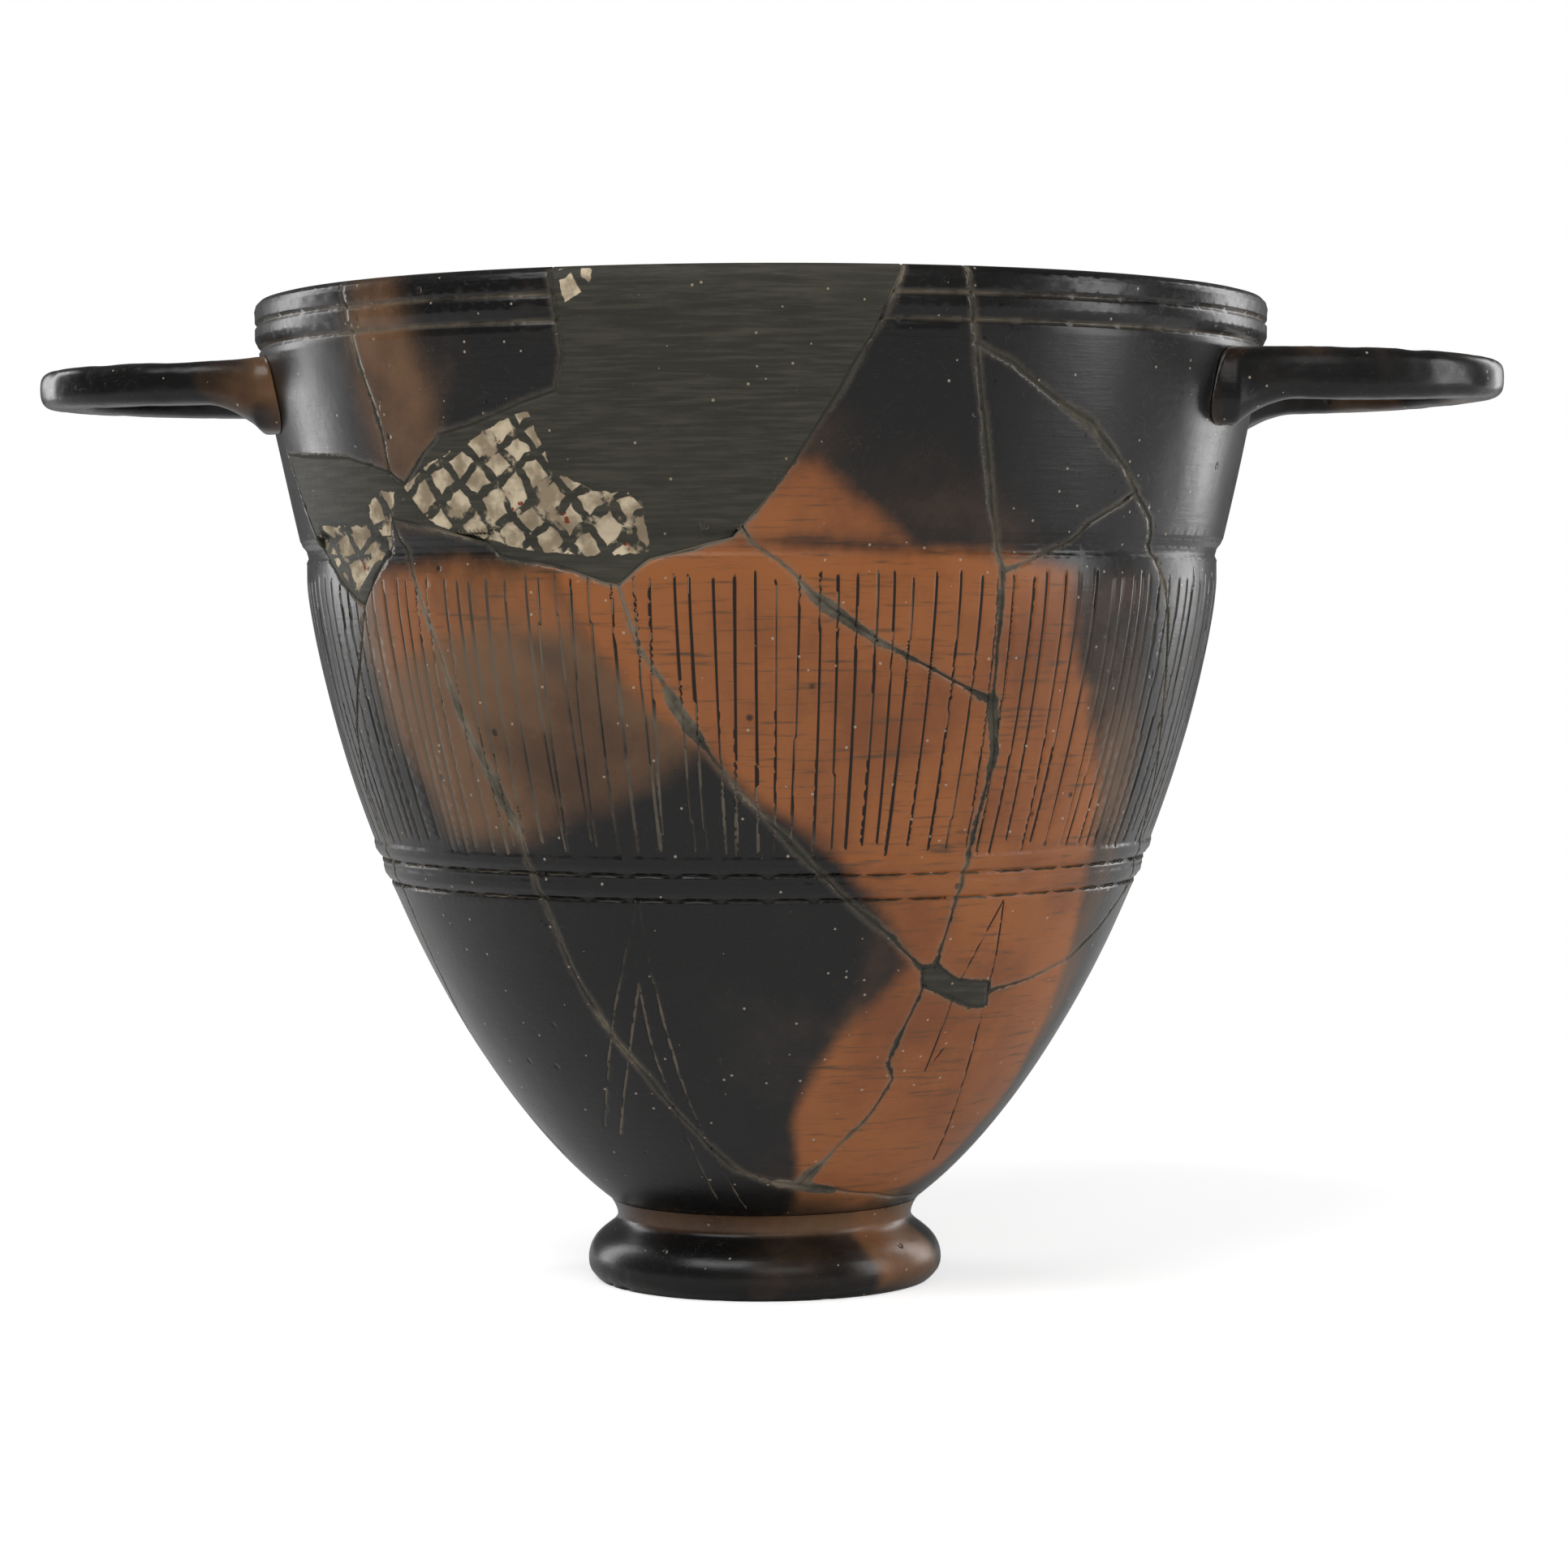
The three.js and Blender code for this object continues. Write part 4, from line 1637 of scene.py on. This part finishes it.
@dataclass(frozen=True)
class BurnishedClay:
    """Burnished black clay with kiln-reddened zones, filled fractures, dust, scratches and specks."""

    tone: ClayTone
    black: Colour = (0.006, 0.0056, 0.0054, 1)
    black_worn: Colour = (0.022, 0.0195, 0.0175, 1)
    brown: Colour = (0.105, 0.052, 0.024, 1)
    brown_light: Colour = (0.165, 0.085, 0.04, 1)
    orange: Colour = (0.31, 0.104, 0.029, 1)
    orange_deep: Colour = (0.2, 0.064, 0.019, 1)
    filler: Colour = (0.042, 0.04, 0.03, 1)
    dust: Colour = (0.2, 0.165, 0.12, 1)
    speck: Colour = (0.42, 0.36, 0.28, 1)
    line_dark: Colour = (0.014, 0.009, 0.006, 1)
    # Where the zones' colours start and are full, and how strongly each mark covers the clay
    cloud: Grain = Grain(14.0, 3.0, 0.5)
    cloud_share: float = 0.8
    orange_edge: Span = (0.22, 0.8)
    brown_edge: Span = (0.1, 0.95)
    smudge_edge: Span = (0.25, 0.75)
    smudge_strength: float = 0.85
    worn_mottle: Span = (0.5, 0.74)
    worn_strength: float = 0.5
    brown_mottle: Span = (0.36, 0.66)
    orange_mottle: Span = (0.34, 0.62)
    orange_streaks: Span = (0.52, 0.75)
    line_share: float = 0.5
    line_edge: Span = (0.28, 0.6)
    line_mottle: Span = (0.34, 0.56)
    line_dust: float = 0.6
    lip_mottle: Span = (0.36, 0.6)
    lip_dust: float = 0.75
    scratch_strength: float = 0.34
    pit_strength: float = 0.85
    speck_strength: float = 0.7
    filler_mottle: Span = (0.48, 0.66)
    filler_dust: float = 0.3
    # Roughness of the cleanest clay, and what each mark adds to it
    gloss: float = 0.14
    mottle_rough: float = 0.3
    orange_rough: float = 0.1
    filler_rough: float = 0.5
    line_rough: float = 0.25
    # How far each mark stands out or is sunk in the fine relief
    mottle_height: float = 0.25
    streak_height: float = 0.18
    pit_height: float = -0.8
    scratch_height: float = -0.18
    fine: Grain = Grain(700.0)
    fine_height: float = 0.12
    filler_height: float = 0.2
    relief: float = 0.55
    specular: float = 0.32

    def material(self, effects: Effects) -> bpy.types.Material:
        """Builds the finish.

        Args:
            effects: the shared shader groups.

        Returns:
            The material.
        """
        material, bench = new_material(f"burnished {self.tone.value}")
        place = bench.place()
        wear = bench.add("Group", {"Vector": place}, node_tree=effects.wear).outputs
        seam = {"Vector": place, "Seam": bench.value("seam"), "Smear": bench.value("smear")}
        filler = bench.add("Group", seam, node_tree=effects.filler).outputs
        mottle = wear["Mottle"]
        swing = bench.swing(mottle)
        cloud = bench.swing(bench.noise(place, self.cloud))
        wander = bench.math("MULTIPLY_ADD", cloud, self.cloud_share, swing)
        orange = bench.ease(bench.math("ADD", bench.value("orange"), wander), self.orange_edge)
        brown = bench.ease(bench.math("ADD", bench.value("brown"), wander), self.brown_edge)
        smudge = bench.ease(bench.math("ADD", bench.value("smudge"), wander), self.smudge_edge)

        worn = bench.ease(mottle, self.worn_mottle)
        base = bench.tint(self.black, self.black_worn, worn, self.worn_strength)
        earth = bench.blend(bench.ease(mottle, self.brown_mottle), self.brown, self.brown_light)
        base = bench.blend(brown, base, earth)
        fired = bench.blend(bench.ease(mottle, self.orange_mottle), self.orange_deep, self.orange)
        streaks = bench.ease(wear["Streaks"], self.orange_streaks)
        base = bench.blend(orange, base, bench.blend(streaks, fired, self.brown))
        base = bench.tint(base, self.black_worn, smudge, self.smudge_strength)

        line = bench.total(bench.value("scored"), (swing, self.line_share))
        groove = bench.ease(line, self.line_edge)
        black = bench.math("SUBTRACT", 1.0, orange)
        dusty = bench.math("MULTIPLY", black, bench.ease(mottle, self.line_mottle))
        base = bench.blend(groove, base, bench.tint(self.line_dark, self.dust, dusty, self.line_dust))

        lip = bench.math("MULTIPLY", bench.value("lip_dust"), bench.ease(mottle, self.lip_mottle))
        base = bench.tint(base, self.dust, lip, self.lip_dust)
        base = bench.tint(base, self.dust, wear["Scratches"], self.scratch_strength)
        base = bench.tint(base, self.line_dark, wear["Pits"], self.pit_strength)
        base = bench.tint(base, self.speck, wear["Specks"], self.speck_strength)
        base = bench.tint(base, self.dust, filler["Dust"], self.filler_dust)
        paste = bench.blend(bench.ease(mottle, self.filler_mottle), self.filler, self.dust)
        base = bench.blend(filler["Mask"], base, paste)

        rough = bench.total(
            self.gloss,
            (mottle, self.mottle_rough),
            (orange, self.orange_rough),
            (filler["Mask"], self.filler_rough),
            (groove, self.line_rough),
        )
        height = bench.total(
            0.0,
            (mottle, self.mottle_height),
            (wear["Streaks"], self.streak_height),
            (wear["Pits"], self.pit_height),
            (wear["Scratches"], self.scratch_height),
            (bench.noise(place, self.fine), self.fine_height),
            (filler["Mask"], self.filler_height),
        )
        bench.surface(base, rough, height, self.relief, self.specular)
        return material


@dataclass(frozen=True)
class PaintedPlaster:
    """Matte grey-olive paint over plaster, with wheel streaks, specks and flaked places."""

    paint: Colour = (0.022, 0.0205, 0.0135, 1)
    paint_light: Colour = (0.05, 0.046, 0.031, 1)
    bare: Colour = (0.6, 0.5, 0.35, 1)
    bare_dull: Colour = (0.27, 0.21, 0.135, 1)
    red: Colour = (0.2, 0.035, 0.012, 1)
    speck: Colour = (0.34, 0.27, 0.17, 1)
    paint_streaks: Span = (0.38, 0.72)
    paint_mottle: Span = (0.45, 0.7)
    mottle_strength: float = 0.4
    ragged: Grain = Grain(420.0, 4.0, 0.65)
    flake_edge: Span = (0.46, 0.54)
    dull: Grain = Grain(300.0, 4.0)
    dull_edge: Span = (0.36, 0.62)
    red_dots: Grain = Grain(520.0, 2.0)
    red_edge: Span = (0.68, 0.73)
    speck_strength: float = 0.85
    scratch_strength: float = 0.16
    # Roughness of the paint, and what is added to it
    matte: float = 0.55
    mottle_rough: float = 0.2
    flake_rough: float = 0.25
    # How far each mark stands out or is sunk in the fine relief
    streak_height: float = 0.35
    fine: Grain = Grain(800.0)
    fine_height: float = 0.3
    flake_height: float = -0.5
    relief: float = 0.7
    specular: float = 0.4

    def material(self, effects: Effects) -> bpy.types.Material:
        """Builds the finish.

        Args:
            effects: the shared shader groups.

        Returns:
            The material.
        """
        material, bench = new_material("painted plaster")
        place = bench.place()
        wear = bench.add("Group", {"Vector": place}, node_tree=effects.wear).outputs
        remains = bench.add("Group", {"Vector": place}, node_tree=effects.hatch).outputs["Mask"]
        mottle = wear["Mottle"]
        streaks = wear["Streaks"]

        light = bench.ease(streaks, self.paint_streaks)
        base = bench.blend(light, self.paint, self.paint_light)
        clouds = bench.ease(mottle, self.paint_mottle)
        base = bench.tint(base, self.paint_light, clouds, self.mottle_strength)
        base = bench.tint(base, self.speck, wear["Specks"], self.speck_strength)
        base = bench.tint(base, self.speck, wear["Scratches"], self.scratch_strength)

        ragged = bench.swing(bench.noise(place, self.ragged))
        flake = bench.ease(bench.math("ADD", ragged, bench.value("flake")), self.flake_edge)
        flake = bench.math("MULTIPLY", flake, bench.math("SUBTRACT", 1.0, remains))
        dull = bench.ease(bench.noise(place, self.dull), self.dull_edge)
        red = bench.ease(bench.noise(place, self.red_dots), self.red_edge)
        plaster = bench.blend(red, bench.blend(dull, self.bare, self.bare_dull), self.red)
        base = bench.blend(flake, base, plaster)

        rough = bench.total(self.matte, (mottle, self.mottle_rough), (flake, self.flake_rough))
        height = bench.total(
            0.0,
            (streaks, self.streak_height),
            (bench.noise(place, self.fine), self.fine_height),
            (flake, self.flake_height),
        )
        bench.surface(base, rough, height, self.relief, self.specular)
        return material


@dataclass(frozen=True)
class SoftLamp:
    """A soft lamp, by its turn off the camera's side, rise, distance, width, height and watts."""

    name: str
    turn: float
    rise: float
    distance: float
    width: float
    height: float
    watts: float


@dataclass
class Studio:
    """The pale floor, the lamps, the white surroundings and the camera."""

    camera_angle: float = -84.3
    camera_place: Triple = (66.99, -638.44, 101.65)
    camera_pitch: float = 2.268
    camera_roll: float = 0.206
    lens: float = 95.457
    sensor: float = 36.0
    nearest_seen: float = 10.0
    floor_radius: float = 3000.0
    floor_sides: int = 96
    floor_colour: Colour = (0.86, 0.86, 0.86, 1)
    floor_lift: float = 0.53
    shadow_span: Span = (150.0, 420.0)
    world_strength: float = 0.13
    target: Triple = (0, 0, 80)

    LAMPS = (
        SoftLamp("key lamp", -38.0, 52.0, 900.0, 620.0, 620.0, 5.6),
        SoftLamp("right window lamp", 76.0, 8.0, 760.0, 150.0, 620.0, 2.4),
        SoftLamp("back right lamp", 126.0, 14.0, 820.0, 240.0, 620.0, 2.4),
        SoftLamp("back left lamp", -124.0, 14.0, 820.0, 240.0, 620.0, 2.2),
        SoftLamp("front lamp", 12.0, 26.0, 1100.0, 700.0, 420.0, 1.7),
    )

    def direction(self, turn: float, rise: float) -> Vector:
        """Finds a direction from the cup.

        Args:
            turn: the degrees off the camera's side.
            rise: the degrees above the level.

        Returns:
            The direction, of length 1.
        """
        angle = math.radians(self.camera_angle + turn)
        lift = math.radians(rise)
        level = math.cos(lift)
        return Vector((math.cos(angle) * level, math.sin(angle) * level, math.sin(lift)))

    def hang_lamps(self) -> None:
        """Places the soft lamps round the cup."""
        for soft in self.LAMPS:
            lamp = bpy.data.lights.new(soft.name, "AREA")
            lamp.shape = "RECTANGLE"
            lamp.size = soft.width * MM
            lamp.size_y = soft.height * MM
            lamp.energy = soft.watts
            holder = bpy.data.objects.new(soft.name, lamp)
            away = self.direction(soft.turn, soft.rise)
            holder.location = (Vector(self.target) + away * soft.distance) * MM
            holder.rotation_euler = away.to_track_quat("Z", "Y").to_euler()
            bpy.context.scene.collection.objects.link(holder)

    def floor_material(self) -> bpy.types.Material:
        """Builds the floor's finish: pale with the cup's shadow, and plain white further out.

        Returns:
            The material.
        """
        material, bench = new_material("pale floor")
        length = bench.add("VectorMath", {0: bench.place()}, operation="LENGTH").outputs["Value"]
        near, far = self.shadow_span
        seen = bench.add("LightPath").outputs["Is Camera Ray"]
        lit = bench.add("BsdfDiffuse", {"Color": self.floor_colour})
        lift = bench.math("MULTIPLY", seen, self.floor_lift)
        veil = bench.add("Emission", {"Color": WHITE, "Strength": lift})
        shaded = bench.add("AddShader", {0: lit.outputs[0], 1: veil.outputs[0]})
        glow = bench.add("Emission", {"Color": WHITE, "Strength": 1.0})
        away = bench.math("MULTIPLY", seen, bench.ease(length, (near * MM, far * MM)))
        both = bench.add("MixShader", {0: away, 1: shaded.outputs[0], 2: glow.outputs[0]})
        bench.feed(bench.add("OutputMaterial").inputs["Surface"], both.outputs[0])
        return material

    def lay_floor(self) -> None:
        """Lays the floor, which isn't part of the cup."""
        turns = [2 * math.pi * i / self.floor_sides for i in range(self.floor_sides)]
        reach = self.floor_radius * MM
        ring = [(reach * math.cos(turn), reach * math.sin(turn), 0.0) for turn in turns]
        mesh = bpy.data.meshes.new("floor")
        mesh.from_pydata(ring, [], [tuple(range(self.floor_sides))])
        mesh.materials.append(self.floor_material())
        floor = bpy.data.objects.new("floor", mesh)
        bpy.context.scene.collection.objects.link(floor)

    def set_world(self) -> None:
        """Makes the surroundings white to the camera and softly pale to the cup."""
        world = bpy.data.worlds.new("studio surroundings")
        world.use_nodes = True
        world.node_tree.nodes.clear()
        bench = Bench(world.node_tree)
        seen = bench.add("LightPath").outputs["Is Camera Ray"]
        plain = bench.add("Background", {"Color": WHITE, "Strength": self.world_strength})
        white = bench.add("Background", {"Color": WHITE, "Strength": 1.0})
        both = bench.add("MixShader", {0: seen, 1: plain.outputs[0], 2: white.outputs[0]})
        bench.feed(bench.add("OutputWorld").inputs["Surface"], both.outputs[0])
        bpy.context.scene.world = world

    def set_camera(self) -> None:
        """Places the camera at the photograph's viewpoint."""
        data = bpy.data.cameras.new("camera")
        data.lens = self.lens
        data.sensor_width = self.sensor
        data.clip_start = self.nearest_seen * MM
        camera = bpy.data.objects.new("camera", data)
        back = self.direction(0.0, self.camera_pitch)
        right = Vector((0, 0, 1)).cross(back).normalized()
        up = back.cross(right)
        roll = Matrix.Rotation(-math.radians(self.camera_roll), 3, "Z")
        turn = Matrix((right, up, back)).transposed() @ roll
        camera.matrix_world = Matrix.Translation(Vector(self.camera_place) * MM) @ turn.to_4x4()
        bpy.context.scene.collection.objects.link(camera)
        bpy.context.scene.camera = camera

    def build(self) -> None:
        """Sets up the whole studio."""
        self.set_camera()
        self.hang_lamps()
        self.lay_floor()
        self.set_world()
        bpy.context.scene.view_settings.view_transform = "Standard"


@dataclass
class Skyphos:
    """The whole cup: nine sherds, two fills, two handles and a foot."""

    nodes: dict[str, bpy.types.Object]
    profile: WallProfile = field(default_factory=WallProfile)
    right_grip_height: float = 7.9
    left_grip_height: float = 6.6

    SHERDS = {
        "rim_sherd_left": ClayTone.BLACK,
        "rim_sherd_centre": ClayTone.BLACK,
        "shoulder_sherd_triangle": ClayTone.BLACK,
        "handle_zone_sherd": ClayTone.BLACK,
        "frieze_sherd_centre": ClayTone.ORANGE,
        "frieze_sherd_right": ClayTone.ORANGE,
        "body_sherd_front": ClayTone.BROWN,
        "base_sherd_left": ClayTone.BLACK,
        "lower_sherd_right": ClayTone.ORANGE,
    }
    FILLS = ("plaster_fill_large", "plaster_fill_junction")

    def build(self) -> None:
        """Makes every piece of the cup."""
        effects = Effects()
        clays = {tone: BurnishedClay(tone).material(effects) for tone in ClayTone}
        plaster = PaintedPlaster().material(effects)
        strokes = Engraving().strokes()
        seams = FractureSeams(clays[ClayTone.BLACK])
        for node, tone in self.SHERDS.items():
            wall = (clays[tone], self.profile, strokes, seams)
            WallPiece(node, tone.value, *wall).build(self.nodes[node])
        for node in self.FILLS:
            wall = (plaster, self.profile, strokes, seams)
            WallPiece(node, "grey_plaster", *wall, plaster=True).build(self.nodes[node])
        seams.build()
        black = ClayTone.BLACK
        for node, mirrored, grip in (
            ("handle_right", False, self.right_grip_height),
            ("handle_left", True, self.left_grip_height),
        ):
            LoopHandle(node, black.value, clays[black], self.profile, mirrored, grip).build()
        RingFoot(black.value, clays[black], self.profile).build()


def main() -> None:
    """Builds the studio and the cup."""
    logging.basicConfig(level=logging.INFO, format="%(name)s: %(message)s")
    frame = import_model()
    Studio().build()
    Skyphos(frame["nodes"]).build()


if __name__ == "__main__":
    main()
